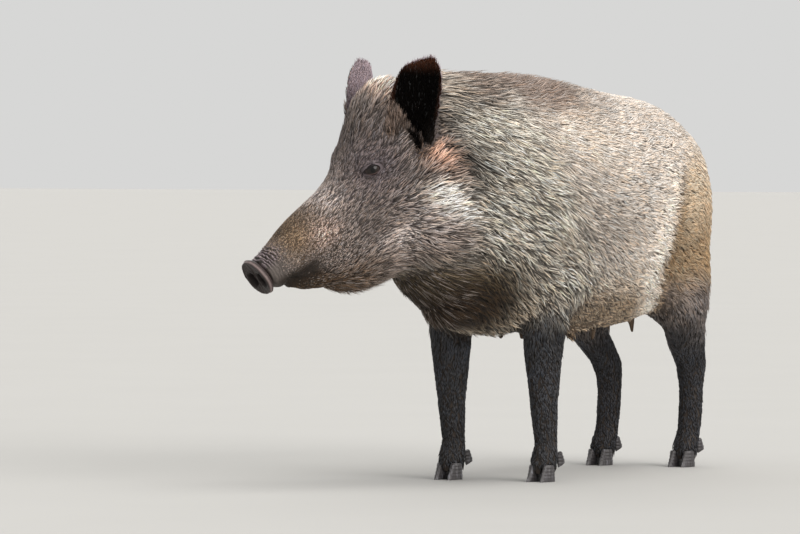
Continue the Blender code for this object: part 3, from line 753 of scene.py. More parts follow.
        # dark roots in the ears' hollows and in the notch at each ear's foot, whose darkness is partly
        # painted shade
        roots = mixed(roots, tips * 0.6, zone.hollow)
        dusk = 0.36 - 0.28 * pale
        dusk = dusk + (0.40 + 0.06 * zone.muzzle - dusk) * zone.head * (1.0 - zone.throat)
        dusk = dusk * (1.0 - zone.ear) * (1.0 - zone.hollow) * (1.0 - 0.5 * zone.leg)
        dusk = dusk * (1.0 - 0.8 * zone.blush) * (1.0 - 0.5 * zone.streak * zone.head)
        dusk = dusk + 0.42 * zone.ear_fur * zone.ear_inside + 0.24 * zone.ear * (1.0 - zone.ear_inside)
        fade = 0.44 - 0.32 * pale
        fade = fade + (0.34 - 0.06 * zone.muzzle - fade) * zone.head
        flecks = 0.20 * zone.jaw * ramp(zone.back, 0.045, 0.080) * ramp(zone.back, 0.34, 0.28)
        return Tints(tips, roots, dusk, fade, flecks)

    def skin(self, zone: Zones) -> Rows:
        """The colour of the skin under the coat.

        Args:
            zone: the places.

        Returns:
            One linear colour for each place.
        """
        hue = self.palette
        tints = self.tints(zone)
        tint = mixed(tints.roots, hue.umber, 0.15 * (1.0 - zone.hollow))
        tint = mixed(tint, hue.lilac * 0.30, 0.55 * zone.face * (1.0 - zone.ear) * (1.0 - zone.hollow))
        tint = mixed(tint, hue.umber * 0.7, 0.85 * zone.muzzle)
        bare = zone.muzzle * ramp(zone.back, 0.085, 0.045)
        # the snout's upper side, which gets the wrinkles' painted highlight and their deepest painted shade
        crest = ramp(zone.rise, 0.000, 0.026)
        tint = mixed(tint, hue.ash * 0.42, bare)
        # painted highlight: pale tops of the bare snout's wrinkles, on its upper side
        tint = mixed(tint, hue.lilac * 0.85, 0.85 * bare * crest * ramp(zone.wrinkle, 0.0, 0.8))
        # painted shade: dark creases between the snout's wrinkles, deepest on its upper side
        painted_crease_shade = ramp(-zone.wrinkle, 0.0, 0.8) * (0.35 + 0.65 * crest)
        tint = mixed(tint, hue.soot * 0.4, 0.92 * bare * painted_crease_shade)
        chin = zone.muzzle * ramp(zone.rise + 0.10 * zone.back, -0.010, -0.028) * ramp(zone.back, 0.012, 0.03)
        tint = mixed(tint, hue.umber * 0.14, 0.95 * chin)
        tint = mixed(tint, hue.lilac * 0.42, bump(zone.eye_gap, 0.0, 0.024) * 0.6)
        return tint


@dataclass(frozen=True)
class Hair:
    """One sort of tuft, as numbers for each root."""

    length: Rows
    width: Rows
    lift: Rows
    spacing: Rows


@dataclass(frozen=True)
class CoatPlan:
    """How the coat grows: its depth, the hairs' sizes and the way they lie."""

    sow: Anatomy
    throat_depth: float = 0.0235
    throat_length: float = 0.044
    leg_depth: float = 0.0016
    leg_width: float = 0.0030
    bristle: float = 0.0027  # how wide a lock of the coarse coat is
    nap: float = 0.0016  # and one on the ears

    @staticmethod
    def fine(zone: Zones) -> Rows:
        """How fine the coat is: coarse on neck and shoulder, finer behind them."""
        return ramp(zone.x, 0.06, -0.14)

    def depth(self, zone: Zones) -> Rows:
        """How far the skin lies inside the coat's outline at each place.

        Args:
            zone: the places.

        Returns:
            One depth for each place.
        """
        fine = self.fine(zone)
        deep = 0.0095 - 0.0035 * fine + 0.006 * zone.mane + 0.002 * zone.neck + 0.003 * zone.throat
        deep = deep - 0.0040 * zone.rump * ramp(zone.z, 0.74, 0.62) + 0.002 * zone.groin
        head = 0.0030 + 0.0075 * ramp(zone.back, 0.27, 0.40) - 0.0015 * zone.muzzle
        deep = deep + (head - deep) * zone.head
        deep = deep + (self.throat_depth - deep) * zone.throat * ramp(zone.z, 0.325, 0.345)
        deep = deep + (self.leg_depth - deep) * zone.leg
        deep = deep + (0.0030 - deep) * zone.tail
        return deep * (1.0 - zone.ear)

    @staticmethod
    def head_length(zone: Zones) -> Rows:
        """How long the head's hairs are, shortest on the snout and round the eyes.

        Args:
            zone: the places.

        Returns:
            One length for each place.
        """
        length = 0.0050 + 0.0112 * ramp(zone.back, 0.13, 0.22) + 0.018 * ramp(zone.back, 0.24, 0.42)
        length = length + 0.006 * zone.cheek + 0.008 * zone.jaw * ramp(zone.back, 0.08, 0.16)
        brow = 0.004 * ramp(zone.rise, 0.02, 0.08) * ramp(zone.back, 0.40, 0.30)
        length = length - brow * ramp(zone.back, 0.14, 0.20)
        return length * (0.55 + 0.45 * ramp(zone.eye_gap, 0.018, 0.060))

    def hair(self, zone: Zones) -> Hair:
        """The hairs' sizes at each root.

        Args:
            zone: the roots' places.

        Returns:
            The sizes and how far apart the roots are.
        """
        fine = self.fine(zone)
        length = 0.043 - 0.010 * fine + 0.014 * zone.mane + 0.006 * zone.neck + 0.004 * zone.throat
        length = length - 0.006 * zone.rump
        width = self.bristle + 0.0003 * fine
        lift = 0.30 - 0.08 * fine + 0.14 * zone.mane + 0.04 * zone.neck - 0.18 * zone.throat
        head = self.head_length(zone)
        length = length + (head - length) * zone.head
        width = width + (0.00100 + 0.046 * head - width) * zone.head
        fringe = zone.jaw * ramp(zone.back, 0.07, 0.13) * ramp(zone.back, 0.29, 0.21)
        fringe = fringe * (1.0 - zone.throat)
        length = length + 0.010 * fringe
        lift = lift + (0.26 + 0.10 * zone.cheek + 0.75 * fringe - lift) * zone.head
        length = length + (self.throat_length - length) * zone.throat
        width = width + (self.bristle - width) * zone.throat
        lift = lift + (0.17 - lift) * zone.throat
        length = length + (0.014 + 0.018 * ramp(zone.z, 0.22, 0.36) - length) * zone.leg
        width = width + (self.leg_width - width) * zone.leg
        lift = lift + (0.16 - lift) * zone.leg
        length = length + (0.030 + 0.030 * ramp(zone.z, 0.52, 0.44) - length) * zone.tail
        rim = np.maximum(ramp(zone.ear_along, 0.80, 0.97), ramp(zone.ear_across, 0.72, 0.95))
        ear = 0.0075 + 0.005 * rim * (1.0 - zone.ear_inside) + 0.0055 * zone.ear_inside * (1.0 - 0.7 * rim)
        eared = np.maximum(zone.ear, zone.ear_root)
        length = length * (1.0 - 0.55 * zone.ear_skirt) * (1.0 - 0.28 * zone.ear_close)
        close = self.sow.teats.close(zone.points) * (1.0 - zone.leg)
        belly = zone.under * ramp(zone.z, 0.38, 0.35) * ramp(zone.x, 0.14, 0.10) * (1.0 - zone.leg)
        length = length * (1.0 - 0.42 * close)
        lift = lift * (1.0 - 0.80 * np.maximum(close, belly))
        lift = lift * (1.0 - 0.5 * zone.ear_skirt)
        ear = ear + 0.007 * zone.ear_root * (1.0 - zone.ear) + 0.012 * zone.ear_fur * zone.ear_inside
        length = length + (ear - length) * eared
        width = width + (self.nap - width) * eared
        lift = lift + (0.30 + 0.30 * zone.ear_root - lift) * eared
        spacing = 1.04 * width + 0.00045 + 0.00062 * (1.0 - zone.head) * (1.0 - zone.leg) * (1.0 - zone.ear)
        return Hair(length, width, lift, spacing)

    def lie(self, zone: Zones) -> Rows:
        """The direction in which the hairs lie at each place, along the skin.

        Args:
            zone: the roots' places.

        Returns:
            One direction of length 1 for each.
        """
        turn = self.sow.heading * ramp(zone.x, self.sow.NECK_START, 0.395)
        rear = np.stack((-np.cos(turn), -np.sin(turn), np.zeros(len(turn))), axis=1)
        down = np.array((0.0, 0.0, -1.0))
        drop = 0.10 + 0.30 * ramp(zone.z, 0.62, 0.40) + 0.38 * ramp(zone.x, -0.05, 0.16)
        drop = drop + 0.85 * zone.rump + 0.10 * zone.throat
        drop = drop * (1.0 - 0.9 * zone.top)
        flow = rear + down * drop[:, None]
        flow = self.mix(flow, down + 0.22 * rear, zone.leg)
        cheek = self.sow.back - 0.55 * self.sow.up
        crown = self.sow.back + 0.10 * self.sow.up
        head = self.mix(np.tile(crown, (len(turn), 1)), np.tile(cheek, (len(turn), 1)), zone.cheek)
        flow = self.mix(flow, head, zone.head)
        flow = self.mix(flow, np.tile(down, (len(turn), 1)), zone.tail)
        for side, frame in self.sow.ears.items():
            up = np.array(frame.to_3x3().col[2])
            mine = np.maximum(np.maximum(zone.ear, zone.ear_root), 0.60 * zone.ear_close * (zone.rise > 0.06))
            mine = mine * (np.sign(zone.side) == side.value)
            flow = self.mix(flow, np.tile(up, (len(turn), 1)), mine)
        wave = Wander(21, 0.090).at(zone.points)
        ripple = Wander(22, 0.035).at(zone.points)
        across = np.cross(zone.normals, unit(flow))
        stray = (0.22 * wave + 0.14 * ripple) * (1.0 - 0.55 * self.fine(zone))
        flow = unit(flow) + across * stray[:, None] * (1.0 - 0.3 * zone.head)[:, None]
        flow = flow - zone.normals * np.sum(flow * zone.normals, axis=1, keepdims=True)
        return unit(flow)

    @staticmethod
    def mix(flow: Rows, other: Rows, share: Rows) -> Rows:
        """One flow with a share of another."""
        return flow + (other - flow) * share[:, None]


# ---- mesh tools


def object_of(name: str, mesh: Mesh) -> Piece:
    """A new object in the scene for a mesh.

    Args:
        name: its name.
        mesh: its mesh.

    Returns:
        The object.
    """
    made = bpy.data.objects.new(name, mesh)
    bpy.context.scene.collection.objects.link(made)
    return made


def object_from(shape: Shape, name: str) -> Piece:
    """A new, smoothly shaded object from a bmesh, which is freed.

    Args:
        shape: the bmesh.
        name: the object's name.

    Returns:
        The object.
    """
    mesh = bpy.data.meshes.new(name)
    shape.to_mesh(mesh)
    shape.free()
    mesh.shade_smooth()
    return object_of(name, mesh)


def mesh_of(name: str, points: Rows, triangles: Rows) -> Mesh:
    """A smoothly shaded mesh from arrays of points and triangles.

    Args:
        name: its name.
        points: one row for each place.
        triangles: three point numbers each.

    Returns:
        The mesh.
    """
    mesh = bpy.data.meshes.new(name)
    mesh.vertices.add(len(points))
    mesh.vertices.foreach_set("co", points.astype(np.float32).ravel())
    mesh.loops.add(triangles.size)
    mesh.loops.foreach_set("vertex_index", triangles.astype(np.int32).ravel())
    mesh.polygons.add(len(triangles))
    mesh.polygons.foreach_set("loop_start", np.arange(0, triangles.size, 3, dtype=np.int32))
    mesh.update(calc_edges=True)
    mesh.shade_smooth()
    return mesh


def read(items: bpy.types.bpy_prop_collection, key: str, width: int, kind: type = np.float32) -> Rows:
    """One value of each of many items.

    Args:
        items: the items.
        key: the value's name.
        width: how many numbers each value has.
        kind: the numbers' type.

    Returns:
        One row for each item.
    """
    flat = np.empty(len(items) * width, dtype=kind)
    items.foreach_get(key, flat)
    return flat.reshape(-1, width)


def coordinates(mesh: Mesh) -> Rows:
    """A mesh's points."""
    return read(mesh.vertices, "co", 3).astype(float)


def outward(mesh: Mesh) -> Rows:
    """A mesh's outward direction at each point."""
    return read(mesh.vertex_normals, "vector", 3).astype(float)


def edge_pairs(mesh: Mesh) -> Rows:
    """A mesh's edges as pairs of point numbers."""
    return read(mesh.edges, "vertices", 2, np.int32)


def move_to(mesh: Mesh, points: Rows) -> None:
    """Puts a mesh's points in new places."""
    mesh.vertices.foreach_set("co", points.astype(np.float32).ravel())
    mesh.update()


def relaxed(points: Rows, edges: Rows, weight: Rows, rounds: int) -> Rows:
    """Points drawn towards the middle of their neighbours.

    Args:
        points: the places.
        edges: pairs of neighbours.
        weight: how far each point goes in a round, from 0 to 1.
        rounds: how many times.

    Returns:
        The new places.
    """
    count = len(points)
    near = np.concatenate((edges[:, 0], edges[:, 1]))
    other = np.concatenate((edges[:, 1], edges[:, 0]))
    number = np.maximum(np.bincount(near, minlength=count), 1)
    for _ in range(rounds):
        sums = [np.bincount(near, weights=points[other, axis], minlength=count) for axis in range(3)]
        middle = np.stack(sums, axis=1) / number[:, None]
        points = points + (middle - points) * weight[:, None]
    return points


def evened(values: Rows, edges: Rows, rounds: int) -> Rows:
    """Values, one for each point, evened out between neighbours."""
    rows = np.stack((values,) * 3, axis=1)
    return relaxed(rows, edges, np.full(len(values), 0.5), rounds)[:, 0]


def apply_modifiers(piece: Piece) -> None:
    """Makes the modifiers' result the piece's own mesh.

    Args:
        piece: the piece.
    """
    shown = piece.evaluated_get(bpy.context.evaluated_depsgraph_get())
    mesh = bpy.data.meshes.new_from_object(shown)
    old, piece.data = piece.data, mesh
    piece.modifiers.clear()
    bpy.data.meshes.remove(old)


def paint(mesh: Mesh, colours: Rows) -> None:
    """Gives each point of a mesh its own colour, in the attribute that the materials read.

    Args:
        mesh: the mesh.
        colours: one linear colour for each point.
    """
    layer = mesh.color_attributes.new(TINT, "FLOAT_COLOR", "POINT")
    shades = np.concatenate((np.clip(colours, 0.0, 1.0), np.ones((len(colours), 1))), axis=1)
    layer.data.foreach_set("color", shades.astype(np.float32).ravel())


def keep(piece: Piece, nodes: tuple[str, ...], finish: Material) -> None:
    """Dresses a finished piece, hangs it on the body and hides the solids that it stands for.

    Args:
        piece: the piece.
        nodes: the solids.
        finish: the material.
    """
    piece.data.materials.clear()
    piece.data.materials.append(finish)
    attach(piece, BODY)
    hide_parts(*nodes)
    log.info("%s: %d faces", piece.name, len(piece.data.polygons))


# ---- finishes


class Nodes:
    """A material's node tree round one Principled shader, with short calls to add to it."""

    def __init__(self, name: str, roughness: float) -> None:
        """Starts a material with one Principled shader.

        Args:
            name: the material's name.
            roughness: how rough the surface is.
        """
        self.material = bpy.data.materials.new(name)
        self.material.use_nodes = True
        self.tree = self.material.node_tree
        self.shader = next(node for node in self.tree.nodes if node.type == "BSDF_PRINCIPLED")
        self.shader.inputs["Roughness"].default_value = roughness
        self.place = self.add("ShaderNodeTexCoord").outputs["Object"]

    def add(self, kind: str, values: dict[str, object] | None = None, **settings: object) -> bpy.types.Node:
        """A new node with some of its settings.

        Args:
            kind: the node's type.
            values: what its inputs are set to.
            settings: its own settings by name.

        Returns:
            The node.
        """
        node = self.tree.nodes.new(kind)
        for name, value in settings.items():
            setattr(node, name, value)
        for name, value in (values or {}).items():
            node.inputs[name].default_value = value
        return node

    def join(self, start: Socket, end: Socket) -> None:
        """A link from one socket to another."""
        self.tree.links.new(start, end)

    def noise(self, scale: float, detail: float = 3.0) -> Socket:
        """Soft noise from 0 to 1.

        Args:
            scale: how fine it is.
            detail: how many finer layers it has.

        Returns:
            The value.
        """
        node = self.add("ShaderNodeTexNoise", {"Scale": scale, "Detail": detail})
        self.join(self.place, node.inputs["Vector"])
        return node.outputs["Fac"]

    def cells(self, scale: float) -> Socket:
        """The distance to the nearest of scattered points.

        Args:
            scale: how fine they are.

        Returns:
            The distance.
        """
        node = self.add("ShaderNodeTexVoronoi", {"Scale": scale})
        self.join(self.place, node.inputs["Vector"])
        return node.outputs["Distance"]

    def ramp(
        self, source: Socket, stops: list[tuple[float, Rows]]
    ) -> Socket:
        """Colours read along a row of stops.

        Args:
            source: the value read.
            stops: places from 0 to 1 and their colours.

        Returns:
            The colour.
        """
        node = self.add("ShaderNodeValToRGB")
        points = node.color_ramp.elements
        while len(points) < len(stops):
            points.new(0.5)
        for point, (position, colour) in zip(points, stops):
            point.position = position
            point.color = (*colour, 1.0)
        self.join(source, node.inputs["Fac"])
        return node.outputs["Color"]

    def level(self, source: Socket, low: float, high: float) -> Socket:
        """A value from 0 to 1 stretched to run from low to high.

        Args:
            source: the value.
            low: where it starts.
            high: where it ends.

        Returns:
            The new value.
        """
        node = self.add("ShaderNodeMapRange", {"To Min": low, "To Max": high})
        self.join(source, node.inputs["Value"])
        return node.outputs["Result"]

    def shaded(self, colour: Socket, light: Socket) -> Socket:
        """A colour made lighter and darker by a value round 1.

        Args:
            colour: the colour.
            light: the value.

        Returns:
            The new colour.
        """
        node = self.add("ShaderNodeVectorMath", operation="SCALE")
        self.join(colour, node.inputs[0])
        self.join(light, node.inputs["Scale"])
        return node.outputs["Vector"]

    def tint(self) -> Socket:
        """The markings that the mesh carries."""
        return self.add("ShaderNodeVertexColor", layer_name=TINT).outputs["Color"]

    def relief(self, height: Socket, depth: float) -> None:
        """A bump on the whole surface.

        Args:
            height: the relief, from 0 to 1.
            depth: how deep it is, in metres.
        """
        node = self.add("ShaderNodeBump", {"Distance": depth})
        self.join(height, node.inputs["Height"])
        self.join(node.outputs["Normal"], self.shader.inputs["Normal"])

    def finish(self, colour: Socket) -> Material:
        """The material, with its base colour joined on."""
        self.join(colour, self.shader.inputs["Base Color"])
        return self.material


@dataclass(frozen=True)
class CoatFinish:
    """Coarse, slightly glossy bristle."""

    name: str = "coat"
    roughness: float = 0.55
    gloss: float = 0.32
    density: float = 1.45

    def material(self) -> Material:
        """Builds it.

        Returns:
            The material.
        """
        nodes = Nodes(self.name, self.roughness)
        nodes.shader.inputs["Specular IOR Level"].default_value = self.gloss
        nodes.shader.inputs["IOR"].default_value = self.density
        light = nodes.level(nodes.noise(420.0, 2.0), 0.72, 1.28)
        return nodes.finish(nodes.shaded(nodes.tint(), light))


@dataclass(frozen=True)
class SkinFinish:
    """Matt, finely creased hide with a stubble of short hair."""

    roughness: float = 0.62

    def material(self) -> Material:
        """Builds it.

        Returns:
            The material.
        """
        nodes = Nodes("hide", self.roughness)
        nodes.shader.inputs["Specular IOR Level"].default_value = 0.35
        stubble = nodes.noise(900.0, 4.0)
        nodes.relief(stubble, 0.0007)
        light = nodes.level(stubble, 0.45, 1.55)
        return nodes.finish(nodes.shaded(nodes.tint(), light))


@dataclass(frozen=True)
class SnoutFinish:
    """Bare, slightly moist leather, pebbled and dark."""

    face: Rows = shade(43, 33, 31)
    rim: Rows = shade(54, 44, 43)
    roughness: float = 0.42

    def material(self) -> Material:
        """Builds it.

        Returns:
            The material.
        """
        nodes = Nodes("snout_leather", self.roughness)
        nodes.shader.inputs["Specular IOR Level"].default_value = 0.22
        nodes.relief(nodes.cells(620.0), 0.0005)
        light = nodes.level(nodes.noise(160.0, 4.0), 0.60, 1.40)
        return nodes.finish(nodes.shaded(nodes.tint(), light))


@dataclass(frozen=True)
class HornFinish:
    """Grown horn: dark, streaked down its length with paler horn."""

    dark: Rows = shade(46, 43, 44)
    pale: Rows = shade(128, 128, 136)
    roughness: float = 0.45

    def material(self) -> Material:
        """Builds it.

        Returns:
            The material.
        """
        nodes = Nodes("horn", self.roughness)
        stretch = nodes.add("ShaderNodeMapping", {"Scale": (1.0, 1.0, 0.12)})
        nodes.join(nodes.place, stretch.inputs["Vector"])
        nodes.place = stretch.outputs["Vector"]
        streaks = nodes.noise(260.0, 5.0)
        nodes.relief(streaks, 0.0006)
        stops = [(0.30, self.dark), (0.55, self.dark * 1.6), (0.80, self.pale)]
        return nodes.finish(nodes.ramp(streaks, stops))


@dataclass(frozen=True)
class EyeFinish:
    """A wet, dark brown eye with a round pupil."""

    roughness: float = 0.12

    def material(self) -> Material:
        """Builds it.

        Returns:
            The material.
        """
        nodes = Nodes("eye", self.roughness)
        nodes.shader.inputs["Specular IOR Level"].default_value = 0.20
        nodes.shader.inputs["Coat Weight"].default_value = 0.15
        nodes.shader.inputs["Coat Roughness"].default_value = 0.02
        light = nodes.level(nodes.noise(900.0, 4.0), 0.60, 1.40)
        return nodes.finish(nodes.shaded(nodes.tint(), light))


# ---- skin


@dataclass
class Ear:
    """One ear's wall, built fine, before it is grown together with the rest of the skin."""

    sow: Anatomy
    side: Side
    rows: int = 44
    columns: int = 30

    def shape(self) -> Piece:
        """The cupped wall, from under the scalp to the tip.

        Returns:
            The wall, in its place.
        """
        grid = bmesh.new()
        bmesh.ops.create_grid(grid, x_segments=self.columns, y_segments=self.rows, size=1.0)
        form, frame = self.sow.ear_shape, self.sow.ears[self.side]
        for vert in grid.verts:
            along = -0.09 + 1.09 * (vert.co.y + 1.0) / 2.0
            vert.co = frame @ form.point(self.side, along, vert.co.x)
        bmesh.ops.remove_doubles(grid, verts=grid.verts, dist=0.0002)
        piece = object_from(grid, f"wall_{self.side.name.lower()}")
        wall = piece.modifiers.new("wall", "SOLIDIFY")
        wall.thickness = form.wall
        wall.offset = 0.0
        apply_modifiers(piece)
        return piece


@dataclass
class EyeSocket:
    """The almond opening of one eye, in the plane across its gaze."""

    sow: Anatomy
    side: Side
    ball: float = 0.0240
    sink: float = 0.0122  # how far the ball's middle lies behind the solid's
    half_length: float = 0.0158
    half_height: float = 0.0090
    tilt: float = math.radians(-20)  # against the line of the head
    front: float = 1.12  # how much longer the half towards the nose is

    LID = 0.0016  # how thick the lids are over the ball
    BED = 0.0040  # how far the skin passes behind the ball's face
    GROOVE = 0.0020  # how deep the tear groove is
    GROOVE_START = 0.0175  # where along the opening it begins

    @property
    def centre(self) -> Rows:
        """The middle of the eyeball."""
        return self.sow.eyes[self.side] - self.gaze * self.sink

    @property
    def gaze(self) -> Rows:
        """Which way the eye looks: out to its side, a little ahead and up."""
        outward = self.sow.left * self.side.value
        return unit((outward - 0.42 * self.sow.back + 0.16 * self.sow.up)[None])[0]

    def axes(self) -> tuple[Rows, Rows, Rows]:
        """The opening's long axis towards its front corner, its short axis and the gaze.

        Returns:
            Three directions of length 1.
        """
        gaze = self.gaze
        ahead = -self.sow.back - gaze * float(-self.sow.back @ gaze)
        ahead = ahead / np.linalg.norm(ahead)
        up = np.cross(gaze, ahead) * (1.0 if np.cross(gaze, ahead) @ self.sow.up > 0 else -1.0)
        turn = math.cos(self.tilt), math.sin(self.tilt)
        long = ahead * turn[0] - up * turn[1]
        short = up * turn[0] + ahead * turn[1]
        return long, short, gaze

    def across(self, points: Rows) -> tuple[Rows, Rows, Rows]:
        """Places in the opening's own axes: along it, up it and out of it.

        Args:
            points: one row for each place.

        Returns:
            Three distances for each place.
        """
        away = points - self.centre
        long, short, gaze = self.axes()
        return away @ long, away @ short, away @ gaze

    def edge(self, along: Rows) -> tuple[Rows, Rows]:
        """The heights of the upper and lower lid at places along the opening, from -1 to 1.

        Args:
            along: the places.

        Returns:
            The upper and the lower lid's heights.
        """
        arch = np.sqrt(np.clip(1.0 - along**2, 0.0, 1.0))
        upper = self.half_height * arch * (1.0 - 0.18 * along)
        lower = -0.82 * self.half_height * arch**1.2
        return upper, lower

    def spread(self, along: Rows) -> Rows:
        """How far along the opening each place lies, counting its corners as -1 and 1."""
        return along / np.where(along > 0, self.front * self.half_length, self.half_length)

    def reach(self, points: Rows) -> Rows:
        """How far out each place lies, counting the opening's own edge as 1."""
        along, height, _ = self.across(points)
        return np.hypot(self.spread(along), height / self.half_height)

    def groove(self, points: Rows) -> Rows:
        """How far each place lies in the tear groove, which runs down and ahead from the front corner.

        Args:
            points: one row for each place.

        Returns:
            One share for each place.
        """
        along, height, out = self.across(points)
        share = ramp(along, self.GROOVE_START, 0.0215) * ramp(along, 0.052, 0.038)
        share = share * ramp(out, -0.012, -0.004)
        return share * bump(height + 0.62 * (along - self.GROOVE_START), 0.0, 0.0022)

    def rim(self, steps: int = 44) -> list[Vector]:
        """The line of the lids' edge, on the eyeball.

        Args:
            steps: how many points it has.

        Returns:
            The points, in order.
        """
        long, short, gaze = self.axes()
        line = []
        for step in range(steps):
            angle = 2 * math.pi * step / steps
            along = math.cos(angle)
            upper, lower = self.edge(np.array((along,)))
            height = float(upper[0]) if math.sin(angle) >= 0 else float(lower[0])
            spread = along * self.half_length * (self.front if along > 0 else 1.0)
            out = math.sqrt(max((self.ball + 0.0006) ** 2 - spread**2 - height**2, 1e-6))
            line.append(Vector(self.centre + long * spread + short * height + gaze * out))
        return line

    def shaped(self, points: Rows) -> Rows:
        """Skin fitted round the eyeball, with lids, folds and a tear groove.

        Args:
            points: the skin's places.

        Returns:
            The new places.
        """
        along, height, out = self.across(points)
        spread = self.spread(along)
        upper, lower = self.edge(np.clip(spread, -1.0, 1.0))
        edge = np.maximum(np.where(height >= 0, upper, -lower), 0.0008)
        reach = np.hypot(spread, height / self.half_height)
        off = np.hypot(along, height)
        front = ramp(out, -0.004, 0.004)
        inside = (np.abs(spread) < 1.0) & (np.abs(height) < edge) & (out > -0.004)
        lid = np.sqrt(np.maximum((self.ball + self.LID) ** 2 - off**2, 0.0))
        raised = out + (lid - out) * front * ramp(reach, 2.1, 1.15)
        lowered = out + (lid - out) * front * ramp(reach, 1.55, 1.10)
        wanted = np.where(lid > out, raised, lowered)
        bed = np.sqrt(np.maximum(self.ball**2 - off**2, 0.0)) - self.BED
        wanted = np.where(inside, bed, wanted)
        fold = 0.0013 * front * (bump(reach, 1.50, 0.09) + 0.7 * bump(reach, 2.05, 0.13))
        brow = 0.0020 * front * bump(reach, 1.76, 0.20) * ramp(height, 0.0, 0.006)
        step = wanted - out + np.where(inside, 0.0, brow - fold) - self.GROOVE * self.groove(points)
        return points + self.gaze * step[:, None]


@dataclass
class Skin:
    """The one skin of the whole sow."""

    sow: Anatomy
    markings: Markings
    plan: CoatPlan
    voxel: float = 0.0034
    swell: float = 0.0006  # closes the thin cuts between the solids
    rounds: int = 46
    faces: int = 100000

    EYE_STEPS = ((0.034, 0.0018), (0.029, 0.0012), (0.024, 0.0009))  # how far off, shortest edge
    TEAT_STEPS = (0.0050, 0.0026, 0.0015)
    SNOUT_EDGE = 0.0020
    GRADES = 5  # steps in how finely the faces are spent

    def build(self) -> Piece:
        """The finished, painted and unwrapped skin.

        Returns:
            The skin.
        """
        piece = self.joined()
        self.melt(piece)
        self.smooth(piece)
        self.thin_out(piece)
        self.inset(piece)
        self.refine(piece)
        self.sculpt(piece)
        self.unwrap(piece)
        zone = Zones(self.sow, coordinates(piece.data), outward(piece.data))
        hue = self.markings.palette
        tint = self.markings.skin(zone)
        tint = mixed(tint, hue.umber * 0.5, 0.9 * self.sow.teats.share(zone.points))
        for side in Side:
            tint = mixed(tint, hue.soot * 0.5, EyeSocket(self.sow, side).groove(zone.points))
        paint(piece.data, tint)
        keep(piece, FLESH + EARS, SkinFinish().material())
        return piece

    def joined(self) -> Piece:
        """Copies of the flesh solids and the ears' walls in one mesh.

        Returns:
            The joined mesh's object.
        """
        whole = bmesh.new()
        for node in FLESH:
            part = bmesh.new()
            part.from_mesh(frame_mesh(node))
            bmesh.ops.remove_doubles(part, verts=part.verts, dist=SAME_POINT)
            part.normal_update()
            for vert in part.verts:
                vert.co += vert.normal * self.swell
            mesh = bpy.data.meshes.new("part")
            part.to_mesh(mesh)
            part.free()
            whole.from_mesh(mesh)
            bpy.data.meshes.remove(mesh)
        for side in Side:
            wall = Ear(self.sow, side).shape()
            whole.from_mesh(wall.data)
            bpy.data.objects.remove(wall)
        return object_from(whole, "skin")

    def melt(self, piece: Piece) -> None:
        """Grows the parts together into one closed surface.

        Args:
            piece: the skin.
        """
        remesh = piece.modifiers.new("melt", "REMESH")
        remesh.mode = "VOXEL"
        remesh.voxel_size = self.voxel
        apply_modifiers(piece)

    def smooth(self, piece: Piece) -> None:
        """Rounds the solids' facets off, most on the trunk and hardly at all on small parts.

        Args:
            piece: the skin.
        """
        mesh = piece.data
        points = coordinates(mesh)
        zone = Zones(self.sow, points, outward(mesh))
        weight = 0.50 * (1.0 - 0.72 * zone.head) * (1.0 - 0.80 * zone.leg) * (1.0 - 0.94 * zone.tail)
        weight = weight * (1.0 - 0.93 * zone.ear)
        edges = edge_pairs(mesh)
        move_to(mesh, relaxed(points, edges, evened(weight, edges, 3), self.rounds))

    def thin_out(self, piece: Piece) -> None:
        """Spends the faces on the head, ears and feet.

        Args:
            piece: the skin.
        """
        mesh = piece.data
        zone = Zones(self.sow, coordinates(mesh), outward(mesh))
        fine = np.clip(zone.head + 0.5 * zone.leg + zone.ear + zone.tail, 0.0, 1.0)
        group = piece.vertex_groups.new(name="fine")
        for grade in range(self.GRADES):
            share = (grade + 1) / self.GRADES
            members = np.flatnonzero((fine > share - 0.2) & (fine <= share))
            group.add(members.tolist(), share, "REPLACE")
        trim = piece.modifiers.new("trim", "DECIMATE")
        trim.ratio = min(1.0, self.faces / (2 * len(mesh.polygons)))
        trim.vertex_group = "fine"
        trim.invert_vertex_group = True
        trim.vertex_group_factor = 0.35
        apply_modifiers(piece)
        piece.vertex_groups.clear()

    def inset(self, piece: Piece) -> None:
        """Draws the skin in by the depth of the coat.

        Args:
            piece: the skin.
        """
        mesh = piece.data
        points, normals = coordinates(mesh), outward(mesh)
        zone = Zones(self.sow, points, normals)
        edges = edge_pairs(mesh)
        depth = evened(self.plan.depth(zone), edges, 12)
        points = points - normals * depth[:, None]
        move_to(mesh, relaxed(points, edges, 0.4 * (1.0 - zone.ear) * (1.0 - zone.leg), 3))

    def refine(self, piece: Piece) -> None:
        """Makes the skin finer round the eyes and the teats, and over the snout.

        Args:
            piece: the skin.
        """
        shape = bmesh.new()
        shape.from_mesh(piece.data)
        eyes = [Vector(eye) for eye in self.sow.eyes.values()]
        for reach, shortest in self.EYE_STEPS:
            self.split(shape, lambda spot: min((spot - eye).length for eye in eyes) < reach, shortest)
        for shortest in self.TEAT_STEPS:
            self.split(shape, self.sow.teats.near, shortest)
        nose, back = Vector(self.sow.nose), Vector(self.sow.back)
        self.split(
            shape,
            lambda spot: (spot - nose).dot(back) < 0.080 and (spot - nose).length < 0.13,
            self.SNOUT_EDGE,
        )
        shape.to_mesh(piece.data)
        shape.free()

    @staticmethod
    def split(shape: Shape, wanted: Callable[[Vector], bool], shortest: float) -> None:
        """Halves some of the edges.

        Args:
            shape: the mesh.
            wanted: whether an edge that begins at a place is one of them.
            shortest: edges up to this length stay whole.
        """
        edges = [edge for edge in shape.edges if wanted(edge.verts[0].co) and edge.calc_length() > shortest]
        bmesh.ops.subdivide_edges(shape, edges=edges, cuts=1)
        bmesh.ops.triangulate(shape, faces=shape.faces)

